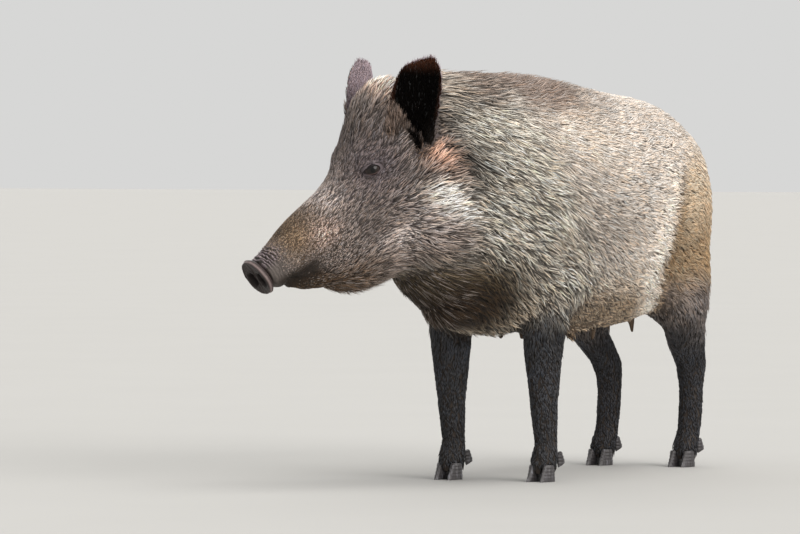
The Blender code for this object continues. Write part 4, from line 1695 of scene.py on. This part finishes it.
    def sculpt(self, piece: Piece) -> None:
        """Adds the lids, the snout's wrinkles, the mouth and the folds of the face.

        Args:
            piece: the skin.
        """
        mesh = piece.data
        points, normals = coordinates(mesh), outward(mesh)
        zone = Zones(self.sow, points, normals)
        wave = Wander(32, 0.012).at(points)
        span = ramp(zone.back, 0.014, 0.022) * ramp(zone.back, 0.062, 0.040) * zone.head
        height = (0.0005 + 0.0017 * ramp(zone.rise, 0.000, 0.022)) * zone.wrinkle * span
        line = zone.rise + 0.030 + 0.30 * zone.back + 0.002 * wave
        lips = zone.head * ramp(zone.back, 0.040, 0.058) * ramp(zone.back, 0.205, 0.165)
        lips = lips * ramp(zone.outward, 0.012, 0.022)
        height = height - 0.0036 * lips * bump(line, 0.0, 0.0020)
        height = height + 0.0016 * lips * (bump(line, 0.006, 0.004) + bump(line, -0.006, 0.004))
        ridge = zone.head * bump(zone.back, 0.20, 0.075) * bump(zone.rise, 0.012, 0.014)
        hollow = 0.0022 * zone.head * bump(zone.back, 0.19, 0.07) * bump(zone.rise, -0.018, 0.014)
        height = height + 0.0030 * ridge - hollow
        points = points + normals * height[:, None]
        below = ramp(-(normals @ self.sow.up), 0.15, 0.60) * zone.head
        chin = 0.0085 * bump(zone.back, 0.052, 0.012) - 0.0072 * bump(zone.back, 0.027, 0.011)
        chin = (chin - 0.0085 * bump(zone.back, 0.088, 0.016)) * below
        points = points + self.sow.up * chin[:, None]
        softened = below * ramp(zone.back, 0.010, 0.018) * ramp(zone.back, 0.095, 0.075)
        points = relaxed(points, edge_pairs(mesh), softened, 14)
        points = self.sow.teats.shaped(points)
        for side in Side:
            points = EyeSocket(self.sow, side).shaped(points)
        move_to(mesh, points)

    def unwrap(self, piece: Piece) -> None:
        """Lays the skin out flat for the bake map.

        Args:
            piece: the skin.
        """
        piece.data.uv_layers.new(name=BAKE_MAP)
        bpy.ops.object.select_all(action="DESELECT")
        piece.select_set(True)
        bpy.context.view_layer.objects.active = piece
        bpy.ops.object.mode_set(mode="EDIT")
        bpy.ops.mesh.select_all(action="SELECT")
        bpy.ops.uv.smart_project(angle_limit=math.radians(66), island_margin=0.004)
        bpy.ops.object.mode_set(mode="OBJECT")


def frame_mesh(node: str) -> Mesh:
    """The mesh of one solid."""
    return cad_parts[node].data


# ---- coat


@dataclass
class Roots:
    """Where the tufts grow."""

    points: Rows
    normals: Rows
    map_places: Rows


@dataclass
class Coat:
    """The sow's coat, as tufts planted on the skin."""

    sow: Anatomy
    markings: Markings
    plan: CoatPlan
    skin: Piece
    most: int = 190000  # faces in one piece
    seed: int = 5

    KINDS = ("head", "face", "muzzle", "ear", "neck", "shoulder", "flank", "haunch", "leg")
    SHORT = ("face", "muzzle", "ear", "leg")  # regions whose hairs need only one cross-section
    ALONG = (1.0, 0.0, 0.35)  # the direction along which a region is parted into pieces

    def build(self) -> None:
        """Plants every region of the coat."""
        dice = np.random.default_rng(self.seed)
        roots = self.roots(dice)
        zone = Zones(self.sow, roots.points, roots.normals)
        hair = self.plan.hair(zone)
        lie = self.plan.lie(zone)
        tints = self.markings.tints(zone)
        finish = CoatFinish().material()
        soft = CoatFinish("ear_coat", 0.90, 0.05, 1.10).material()
        for name, members in self.regions(zone).items():
            self.plant(name, members, roots, hair, lie, tints, dice, (finish, soft))

    def roots(self, dice: Dice) -> Roots:
        """Scatters roots evenly, as thickly as the hair at each place asks.

        Args:
            dice: the source of chance.

        Returns:
            The roots.
        """
        mesh = self.skin.data
        mesh.calc_loop_triangles()
        count = len(mesh.loop_triangles)
        corners = read(mesh.loop_triangles, "vertices", 3, np.int32)
        loops = read(mesh.loop_triangles, "loops", 3, np.int32)
        points, normals = coordinates(mesh), outward(mesh)
        places = read(mesh.uv_layers[BAKE_MAP].data, "uv", 2)
        a, b, c = (points[corners[:, index]] for index in range(3))
        area = np.linalg.norm(np.cross(b - a, c - a), axis=1) / 2
        middle = Zones(self.sow, (a + b + c) / 3, unit(normals[corners].mean(axis=1)))
        spacing = self.plan.hair(middle).spacing
        wanted = area / spacing**2 * self.haired(middle)
        number = np.floor(wanted + dice.random(count)).astype(int)
        owner = np.repeat(np.arange(count), number)
        first, second = dice.random(len(owner)), dice.random(len(owner))
        flip = first + second > 1.0
        first, second = np.where(flip, 1.0 - first, first), np.where(flip, 1.0 - second, second)
        share = np.stack((1.0 - first - second, first, second), axis=1)[:, :, None]
        spots = (points[corners[owner]] * share).sum(axis=1)
        facing = unit((normals[corners[owner]] * share).sum(axis=1))
        on_map = (places[loops[owner]] * share).sum(axis=1)
        return Roots(spots, facing, on_map)

    def haired(self, zone: Zones) -> Rows:
        """How much of the coat each place has: none on the lids, the snout and the soles.

        Args:
            zone: the places.

        Returns:
            One share for each place.
        """
        full = ramp(zone.back, 0.030, 0.062) * zone.head + (1.0 - zone.head)
        lids = [EyeSocket(self.sow, side) for side in Side]
        for lid in lids:
            near = (np.abs(lid.across(zone.points)[2]) < 0.03) & (lid.reach(zone.points) < 1.32)
            full = np.where(near, 0.0, full) * (1.0 - lid.groove(zone.points))
        full = full * (1.0 - ramp(self.sow.teats.share(zone.points), 0.0, 0.2))
        return full * ramp(zone.z, 0.024, 0.040)

    def regions(self, zone: Zones) -> dict[str, Rows]:
        """The coat's pieces, each with the numbers of its roots.

        Args:
            zone: the roots' places.

        Returns:
            The numbers by piece.
        """
        on_left = np.where((zone.head > 0.5) | (zone.ear > 0.5), zone.side > 0.0, zone.y > self.sow.middle)
        side = np.where(on_left, "left", "right")
        kind = np.full(len(side), "flank", dtype=object)
        kind[zone.x < -0.42] = "haunch"
        kind[zone.x > -0.02] = "shoulder"
        kind[zone.x > 0.14] = "neck"
        kind[zone.leg > 0.5] = "leg"
        kind[zone.tail > 0.5] = "tail"
        kind[zone.head > 0.5] = "head"
        kind[(zone.head > 0.5) & (zone.back < 0.33)] = "face"
        kind[(zone.head > 0.5) & (zone.back < 0.20)] = "muzzle"
        kind[np.maximum(zone.ear, zone.ear_root) > 0.5] = "ear"
        found = {}
        for name in self.KINDS:
            for which in ("left", "right"):
                found[f"coat_{name}_{which}"] = np.flatnonzero((kind == name) & (side == which))
        found["coat_tail"] = np.flatnonzero(kind == "tail")
        return found

    def plant(
        self,
        name: str,
        members: Rows,
        roots: Roots,
        hair: Hair,
        lie: Rows,
        tints: Tints,
        dice: Dice,
        finishes: tuple[Material, Material],
    ) -> None:
        """Makes the pieces of one region.

        Args:
            name: the region's name.
            members: the numbers of its roots.
            roots: where all the tufts grow.
            hair: their sizes.
            lie: the way they lie.
            tints: their colours.
            dice: the source of chance.
            finishes: bristle, and the soft nap of the ears.
        """
        finish, soft = finishes
        rings = (0.42,) if name.split("_")[1] in self.SHORT else (0.34, 0.72)
        limit = self.most // (6 * len(rings))
        parts = max(1, math.ceil(len(members) / limit))
        order = members[np.argsort(roots.points[members] @ np.array(self.ALONG), kind="stable")]
        for part in range(parts):
            mine = order[part * len(order) // parts:(part + 1) * len(order) // parts]
            if len(mine) == 0:
                continue
            tufts = Tufts(roots.points[mine], roots.normals[mine], lie[mine], roots.map_places[mine], rings)
            label = name if parts == 1 else f"{name}_{part + 1}"
            piece = tufts.grow(label, picked(hair, mine), picked(tints, mine), dice)
            on_ear = name.startswith("coat_ear")
            keep(piece, self.nodes_under(name), soft if on_ear else finish)

    @staticmethod
    def nodes_under(name: str) -> tuple[str, ...]:
        """The solids that a region of the coat lies over.

        Args:
            name: the region's name.

        Returns:
            The solids' names.
        """
        side = "left" if name.endswith("left") else "right"
        under = {
            "head": ("head",),
            "face": ("head",),
            "muzzle": ("head",),
            "ear": (f"ear_{side}",),
            "neck": ("neck",),
            "shoulder": ("trunk", "neck"),
            "flank": ("trunk",),
            "haunch": ("trunk",),
            "leg": (f"leg_fore_{side}", f"leg_hind_{side}"),
            "tail": ("tail",),
        }
        return under[name.split("_")[1]]


@dataclass
class Tufts:
    """Many tapered locks of hair, each a thin closed spindle with a bend in it."""

    roots: Rows
    normals: Rows
    lie: Rows
    map_places: Rows
    rings: tuple[float, ...] = (0.34, 0.72)  # where along the lock its cross-sections are

    FLECK = tone(158, 146, 138)
    CLUMP = 14  # locks drawn together
    SUNK = 0.0008  # how far a lock's root lies under the skin
    TAPERS = (1.0, 0.66)  # a lock's width at its cross-sections
    RIDGE = 0.42  # its thickness, as a share of its width

    def grow(self, name: str, hair: Hair, tints: Tints, dice: Dice) -> Piece:
        """The locks as one mesh.

        Args:
            name: the piece's name.
            hair: the locks' sizes.
            tints: their colours.
            dice: the source of chance.

        Returns:
            The piece, with its colours and bake map.
        """
        count = len(self.roots)
        lie = self.clumped(hair, dice)
        across = unit(np.cross(self.normals, lie))
        sway = dice.normal(0.0, 0.11, count)
        lie = unit(lie + across * sway[:, None])
        across = unit(np.cross(self.normals, lie))
        length = hair.length * dice.uniform(0.72, 1.22, count)
        width = hair.width * dice.uniform(0.70, 1.25, count)
        lift = hair.lift * dice.uniform(0.55, 1.45, count)
        bend = dice.normal(0.0, 0.10, count)
        centres, rows = [], [0.0, *self.rings, 1.0]
        for share in rows:
            rise = lift * share * (1.0 - 0.52 * share)
            step = lie * share + self.normals * rise[:, None] + across * (bend * share * share)[:, None]
            centres.append(self.roots + step * length[:, None])
        places = [centres[0] - self.normals * self.SUNK]
        for centre, taper in zip(centres[1:-1], self.TAPERS):
            half = across * (width * taper / 2)[:, None]
            ridge = self.normals * (width * taper * self.RIDGE)[:, None]
            places += [centre - half, centre + half, centre + ridge]
        places.append(centres[-1])
        points = np.stack(places, axis=1).reshape(-1, 3)
        faces = (np.arange(count) * (2 + 3 * len(self.rings)))[:, None, None] + self.pattern()[None]
        mesh = mesh_of(name, points, faces.reshape(-1, 3))
        self.colour(mesh, tints, dice)
        self.map(mesh)
        return object_of(name, mesh)

    def pattern(self) -> Rows:
        """One lock's triangles, over its root, its rings of three and its tip.

        Returns:
            Three point numbers for each triangle.
        """
        last = 3 * len(self.rings) - 2
        rows = [(0, 2, 1), (0, 3, 2), (0, 1, 3)]
        for start in range(1, last, 3):
            for left, right in ((0, 1), (1, 2), (2, 0)):
                rows.append((start + left, start + right, start + 3 + right))
                rows.append((start + left, start + 3 + right, start + 3 + left))
        rows += [(last, last + 1, last + 3), (last + 1, last + 2, last + 3), (last + 2, last, last + 3)]
        return np.array(rows)

    def clumped(self, hair: Hair, dice: Dice) -> Rows:
        """The lie of the hair, drawn together into locks.

        Args:
            hair: the locks' sizes.
            dice: the source of chance.

        Returns:
            One direction for each lock.
        """
        count = len(self.roots)
        seeds = dice.choice(count, max(count // self.CLUMP, 1), replace=False)
        tree = KDTree(len(seeds))
        for index, seed in enumerate(seeds):
            tree.insert(self.roots[seed], index)
        tree.balance()
        nearest = np.array([tree.find(spot)[1] for spot in self.roots])
        goal = self.roots[seeds[nearest]] + self.lie[seeds[nearest]] * (hair.length * 1.1)[:, None]
        pull = goal - self.roots
        pull = pull - self.normals * np.sum(pull * self.normals, axis=1, keepdims=True)
        sway = dice.normal(0.0, 0.10, len(seeds))[nearest]
        across = np.cross(self.normals, self.lie)
        return unit(self.lie * 0.55 + unit(pull) * 0.45 + across * sway[:, None])

    def colour(self, mesh: Mesh, tints: Tints, dice: Dice) -> None:
        """Dark at the root, pale towards the tip, some dark all the way, and no two quite alike.

        Args:
            mesh: the locks.
            tints: their colours.
            dice: the source of chance.
        """
        count = len(self.roots)
        shade = np.clip(dice.normal(1.0, 0.10 + 0.40 * tints.dusk, count), 0.4, 1.6)
        warm = dice.normal(0.0, 0.05, count)[:, None] * np.array((1.0, 0.0, -1.0))
        pale = tints.tips * shade[:, None] * (1.0 + warm)
        dark = dice.random(count) < tints.dusk
        pale = np.where(dark[:, None], tints.roots + 0.12 * pale, pale)
        flecked = dice.random(count) < tints.flecks
        pale = np.where(flecked[:, None], np.maximum(pale, self.FLECK * shade[:, None]), pale)
        rows = [tints.roots * 0.6]
        for share, number in [(ring, 3) for ring in self.rings] + [(1.0, 1)]:
            light = ramp(share - tints.fade, -0.30, 0.30)
            rows += [mixed(tints.roots, pale, light)] * number
        paint(mesh, np.stack(rows, axis=1).reshape(-1, 3))

    def map(self, mesh: Mesh) -> None:
        """Gives each lock its own small patch of the bake map, at its root's place.

        Args:
            mesh: the locks.
        """
        ring = [(0.0, 0.0), (1.0, 0.0), (0.5, 0.1)]
        spots = [(0.5, 0.0)] + [(u, v + share) for share in self.rings for u, v in ring] + [(0.5, 1.0)]
        patch = (np.array(spots) - 0.5) * PATCH
        places = (self.map_places[:, None, :] + patch[None]).reshape(-1, 2)
        corners = read(mesh.loops, "vertex_index", 1, np.int32)[:, 0]
        layer = mesh.uv_layers.new(name=BAKE_MAP)
        layer.data.foreach_set("uv", places[corners].astype(np.float32).ravel())


# ---- eyes, snout and hooves


@dataclass
class Eye:
    """One eyeball and the bare edge of its lids."""

    sow: Anatomy
    side: Side
    pupil: float = 0.0042
    iris: float = 0.0098

    def build(self) -> None:
        """Makes both pieces."""
        name = self.side.name.lower()
        socket = EyeSocket(self.sow, self.side)
        ball = self.ball(socket, f"eyeball_{name}")
        keep(ball, (f"eye_{name}",), EyeFinish().material())
        lids = self.lids(socket, f"lids_{name}")
        keep(lids, ("head",), SnoutFinish().material())

    def ball(self, socket: EyeSocket, name: str) -> Piece:
        """The eyeball, with its cornea standing proud in front of the iris.

        Args:
            socket: its opening.
            name: the piece's name.

        Returns:
            The eyeball.
        """
        shape = bmesh.new()
        bmesh.ops.create_uvsphere(shape, u_segments=48, v_segments=36, radius=socket.ball)
        gaze = Vector(socket.gaze)
        turn = gaze.to_track_quat("Z", "Y").to_matrix().to_4x4()
        for vert in shape.verts:
            if vert.co.z < 0:
                vert.co.z *= 0.25
            else:
                vert.co.z += 0.0012 * math.exp(-((vert.co.xy.length / self.iris) ** 4))
        bmesh.ops.transform(shape, matrix=Matrix.Translation(Vector(socket.centre)) @ turn, verts=shape.verts)
        piece = object_from(shape, name)
        points = coordinates(piece.data)
        hidden = ramp(socket.reach(points), 1.06, 1.40) * ramp(socket.across(points)[2], 0.0, 0.006)
        move_to(piece.data, points - socket.gaze * (0.011 * hidden)[:, None])
        away = points - socket.centre
        deep = away @ socket.gaze
        off = np.linalg.norm(away - deep[:, None] * socket.gaze, axis=1)
        off = np.where(deep > 0, off, 0.05)
        tint = np.tile(tone(46, 36, 33), (len(points), 1))
        tint = mixed(tint, tone(21, 16, 14), ramp(off, self.iris + 0.0012, self.iris - 0.0004))
        tint = mixed(tint, tone(44, 36, 31), 0.7 * bump(off, 0.0070, 0.0016))
        tint = mixed(tint, tone(8, 7, 8), ramp(off, self.pupil + 0.0008, self.pupil))
        # painted shade: the top of the eyeball darkened under the upper lid
        tint = mixed(tint, tone(10, 8, 8), 0.85 * ramp(socket.across(points)[1], 0.0030, 0.0075))
        paint(piece.data, tint)
        return piece

    def lids(self, socket: EyeSocket, name: str) -> Piece:
        """The lids' bare, dark edge: a soft round lip all round the opening.

        Args:
            socket: their opening.
            name: the piece's name.

        Returns:
            The lids' edge.
        """
        line = socket.rim()
        count, ring = len(line), 8
        lip = bmesh.new()
        bmesh.ops.create_grid(lip, x_segments=count, y_segments=ring, size=1.0)
        centre, gaze = Vector(socket.centre), Vector(socket.gaze)
        for vert in lip.verts:
            place = round((vert.co.x + 1.0) / 2.0 * count) % count
            angle = math.pi * (vert.co.y + 1.0)
            here, after, before = line[place], line[(place + 1) % count], line[place - 1]
            out = (here - centre).normalized()
            side = (after - before).normalized().cross(out)
            vert.co = here + side * (0.0013 * math.cos(angle)) + out * (0.0011 * math.sin(angle))
        bmesh.ops.remove_doubles(lip, verts=lip.verts, dist=0.00005)
        bmesh.ops.recalc_face_normals(lip, faces=lip.faces)
        piece = object_from(lip, name)
        points = coordinates(piece.data)
        height = socket.across(points)[1]
        tint = np.tile(tone(30, 24, 26), (len(points), 1))
        tint = mixed(tint, tone(72, 56, 54), ramp(height, -0.003, -0.006))
        paint(piece.data, tint)
        return piece


@dataclass
class Snout:
    """The nose pad: a bare disc with a raised rim and two deep nostrils."""

    sow: Anatomy
    half_height: float = 0.040
    half_width: float = 0.042
    thickness: float = 0.008
    nostril_apart: float = 0.0166
    nostril: tuple[float, float] = (0.0124, 0.0148)
    rings: int = 26

    def build(self) -> None:
        """Makes the pad."""
        disc = bmesh.new()
        bmesh.ops.create_circle(disc, cap_ends=True, segments=72, radius=1.0)
        for _ in range(self.rings):
            bmesh.ops.inset_region(disc, faces=self.cap(disc), thickness=0.037,
                                   use_boundary=True, use_even_offset=True)
        bmesh.ops.poke(disc, faces=self.cap(disc))
        for drop in (0.35, 0.65):
            rim = [edge for edge in disc.edges if edge.is_boundary]
            wall = bmesh.ops.extrude_edge_only(disc, edges=rim)["geom"]
            lower = [item for item in wall if isinstance(item, bmesh.types.BMVert)]
            bmesh.ops.translate(disc, verts=lower, vec=(0.0, 0.0, -drop))
        bmesh.ops.holes_fill(disc, edges=[edge for edge in disc.edges if edge.is_boundary])
        bmesh.ops.recalc_face_normals(disc, faces=disc.faces)
        piece = object_from(disc, "nose_disc")
        flat = coordinates(piece.data)
        placed, tint = self.formed(flat)
        move_to(piece.data, placed)
        shape = bmesh.new()
        shape.from_mesh(piece.data)
        bmesh.ops.recalc_face_normals(shape, faces=shape.faces)
        shape.to_mesh(piece.data)
        shape.free()
        paint(piece.data, tint)
        keep(piece, ("nose_pad",), SnoutFinish().material())

    @staticmethod
    def cap(disc: Shape) -> list[bmesh.types.BMFace]:
        """The one many-sided face in the middle."""
        return [max(disc.faces, key=lambda face: len(face.verts))]

    def formed(self, flat: Rows) -> tuple[Rows, Rows]:
        """Gives the flat disc its outline, its rim and its nostrils.

        Args:
            flat: places on a disc of radius 1 and its wall below.

        Returns:
            The places on the sow and their colours.
        """
        sow = self.sow
        reach = np.hypot(flat[:, 0], flat[:, 1])
        angle = np.arctan2(flat[:, 1], flat[:, 0])
        lobe = 1.0 - 0.06 * np.sin(angle) - 0.025 * np.cos(2 * angle) + 0.012 * np.cos(4 * angle)
        side = flat[:, 0] * self.half_width * lobe
        rise = flat[:, 1] * self.half_height * (1.0 + 0.02 * np.cos(2 * angle))
        behind = np.where(flat[:, 2] < -0.01, -flat[:, 2] * self.thickness, 0.0)
        side = side * (1.0 - 0.10 * ramp(behind, 0.003, 0.008) + 0.02 * bump(behind, 0.0028, 0.002))
        rise = rise * (1.0 - 0.10 * ramp(behind, 0.003, 0.008) + 0.03 * bump(behind, 0.0056, 0.003))
        on_face = behind < 1e-6
        lip = bump(reach, 0.95, 0.060)
        dish = ramp(reach, 0.95, 0.35)
        holes = np.zeros(len(flat))
        near = np.full(len(flat), 9.0)
        for sign in (1.0, -1.0):
            off = (side - sign * self.nostril_apart * (1.0 - 6.0 * rise)) / self.nostril[0]
            gap = np.hypot(off, (rise + 0.005) / self.nostril[1])
            near = np.minimum(near, gap)
            holes = np.maximum(holes, ramp(gap, 1.08, 0.62))
        swell = bump(near, 1.30, 0.20)
        grain = Wander(41, 0.004).at(np.stack((side, rise, behind), axis=1) + 3.0)
        front = -0.0030 - 0.0012 * lip + 0.0030 * dish - 0.0016 * swell + 0.0170 * holes
        front = front + 0.0006 * grain + 0.0008 * bump(side, 0.0, 0.002) * dish
        front = front + 0.0028 * ramp(reach, 0.95, 1.0)
        depth = np.where(on_face, front, behind)
        edge = 1.0 - 0.03 * ramp(reach, 0.96, 1.0) * on_face
        points = sow.nose + sow.back * depth[:, None]
        points = points + sow.left * (side * edge)[:, None] + sow.up * (rise * edge)[:, None]
        finish = SnoutFinish()
        tint = np.tile(finish.face, (len(flat), 1))
        tint = mixed(tint, finish.rim, 0.75 * np.maximum(bump(reach, 0.97, 0.06), ramp(behind, 0.0, 0.003)))
        # painted shade: the pad darkened round the nostrils' edges
        tint = mixed(tint, finish.face * 0.45, 0.7 * bump(near, 1.1, 0.35) * on_face)
        # painted highlight: a thin near-white line along the pad's edge and over the top of its wall
        pale = np.where(on_face, bump(reach, 0.985, 0.014), ramp(behind, 0.0022, 0.0008))
        tint = mixed(tint, tone(226, 202, 198), 0.9 * pale)
        # painted shade: the nostrils painted near-black down inside
        tint = mixed(tint, tone(12, 9, 9), holes * on_face)
        return points, tint * (1.0 + 0.18 * grain)[:, None]


@dataclass
class Hooves:
    """The claws of all four feet, two to walk on and two small ones behind each."""

    sow: Anatomy
    voxel: float = 0.0013
    growth: float = 0.00035  # how high the rings of growth stand
    growths: float = 5.0  # how many there are

    def build(self) -> None:
        """Makes every claw."""
        horn = HornFinish().material()
        for leg in self.sow.feet:
            for kind in ("claw", "dewclaw"):
                for which in ("inner", "outer"):
                    self.claw(f"{kind}_{leg}_{which}", horn)

    def claw(self, node: str, horn: Material) -> None:
        """One claw, rounded from its solid, with the sole kept flat and the edges worn.

        Args:
            node: its solid.
            horn: its material.
        """
        shape = bmesh.new()
        shape.from_mesh(frame_mesh(node))
        bmesh.ops.remove_doubles(shape, verts=shape.verts, dist=SAME_POINT)
        bmesh.ops.dissolve_limit(shape, angle_limit=math.radians(4), verts=shape.verts, edges=shape.edges)
        bmesh.ops.triangulate(shape, faces=shape.faces)
        bmesh.ops.recalc_face_normals(shape, faces=shape.faces)
        low = min(vert.co.z for vert in shape.verts)
        high = max(vert.co.z for vert in shape.verts)
        piece = object_from(shape, f"horn_{node}")
        melt = piece.modifiers.new("melt", "REMESH")
        melt.mode = "VOXEL"
        melt.voxel_size = self.voxel
        apply_modifiers(piece)
        points = coordinates(piece.data)
        weight = np.full(len(points), 0.5) * ramp(points[:, 2], low, low + 0.003)
        points = relaxed(points, edge_pairs(piece.data), weight, 7)
        move_to(piece.data, points)
        rings = self.growth * np.sin((points[:, 2] - low) / (high - low) * 2 * math.pi * self.growths)
        rings = rings * ramp(points[:, 2], low + 0.003, low + 0.008)
        move_to(piece.data, points + outward(piece.data) * rings[:, None])
        keep(piece, (node,), horn)


# ---- studio


@dataclass(frozen=True)
class Lamp:
    """One soft, far studio light, shining from a direction."""

    name: str
    source: tuple[float, float, float]
    strength: float
    spread: float
    colour: tuple[float, float, float] = (1.0, 1.0, 1.0)


@dataclass
class Studio:
    """Plain pale floor, soft light and the camera."""

    middle: Vector
    azimuth: float = math.radians(120)
    pitch: float = math.radians(1.2126)
    stand: tuple[float, float, float] = (10.652, 5.886, 0.684)
    lens: float = 270.0
    sky: float = 0.70
    lamps: tuple[Lamp, ...] = (
        Lamp("overhead", (-0.1, 0.5, 1.6), 1.60, 50.0, (1.0, 0.98, 0.95)),
        Lamp("key", (0.5, 2.0, 0.9), 1.90, 40.0, (1.0, 0.97, 0.94)),
        Lamp("rim", (-1.2, -0.8, 1.2), 0.45, 50.0, (1.0, 0.98, 0.95)),
    )

    def build(self) -> None:
        """Sets everything up."""
        self.floor()
        self.light()
        self.camera()

    def floor(self) -> None:
        """One wide, pale, level sheet."""
        sheet = bmesh.new()
        bmesh.ops.create_grid(sheet, x_segments=1, y_segments=1, size=60.0)
        floor = object_from(sheet, "floor")
        nodes = Nodes("pale_floor", 0.85)
        stops = [(0.0, tone(176, 175, 172)), (1.0, tone(180, 179, 176))]
        floor.data.materials.append(nodes.finish(nodes.ramp(nodes.noise(2.0), stops)))
        floor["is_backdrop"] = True

    def light(self) -> None:
        """Wide, soft lamps and an even pale sky."""
        for lamp in self.lamps:
            data = bpy.data.lights.new(lamp.name, "SUN")
            data.angle = math.radians(lamp.spread)
            data.energy = lamp.strength
            data.color = lamp.colour
            made = bpy.data.objects.new(lamp.name, data)
            bpy.context.scene.collection.objects.link(made)
            made.location = self.middle + Vector(lamp.source) * 3.0
            made.rotation_euler = (-Vector(lamp.source)).to_track_quat("-Z", "Y").to_euler()
        world = bpy.data.worlds.new("studio")
        bpy.context.scene.world = world
        world.use_nodes = True
        sky = next(node for node in world.node_tree.nodes if node.type == "BACKGROUND")
        sky.inputs["Color"].default_value = (0.97, 0.97, 0.96, 1.0)
        sky.inputs["Strength"].default_value = self.sky

    def camera(self) -> None:
        """A long lens from ahead and to her left, at the height of her back."""
        data = bpy.data.cameras.new("camera")
        data.lens = self.lens
        data.clip_end = 500.0
        camera = bpy.data.objects.new("camera", data)
        bpy.context.scene.collection.objects.link(camera)
        camera.location = self.stand
        level = math.cos(self.pitch)
        aim = Vector((-math.sin(self.azimuth) * level, math.cos(self.azimuth) * level, -math.sin(self.pitch)))
        camera.rotation_euler = aim.to_track_quat("-Z", "Y").to_euler()
        bpy.context.scene.camera = camera
        bpy.context.scene.view_settings.view_transform = "Standard"


def main() -> None:
    """Builds the sow's looks, piece by piece."""
    logging.basicConfig(level=logging.INFO, format="%(message)s")
    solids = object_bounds()
    sow = Anatomy.from_frame()
    markings = Markings()
    plan = CoatPlan(sow)
    Studio((Vector(solids[0]) + Vector(solids[1])) / 2).build()
    skin = Skin(sow, markings, plan).build()
    Coat(sow, markings, plan, skin).build()
    for side in Side:
        Eye(sow, side).build()
    Snout(sow).build()
    Hooves(sow).build()


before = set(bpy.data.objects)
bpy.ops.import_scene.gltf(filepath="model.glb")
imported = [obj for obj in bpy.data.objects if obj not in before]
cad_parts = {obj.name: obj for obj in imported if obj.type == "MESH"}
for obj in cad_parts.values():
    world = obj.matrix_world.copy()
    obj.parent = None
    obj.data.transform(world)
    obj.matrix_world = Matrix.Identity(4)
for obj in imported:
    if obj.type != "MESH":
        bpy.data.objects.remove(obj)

if __name__ == "__main__":
    main()
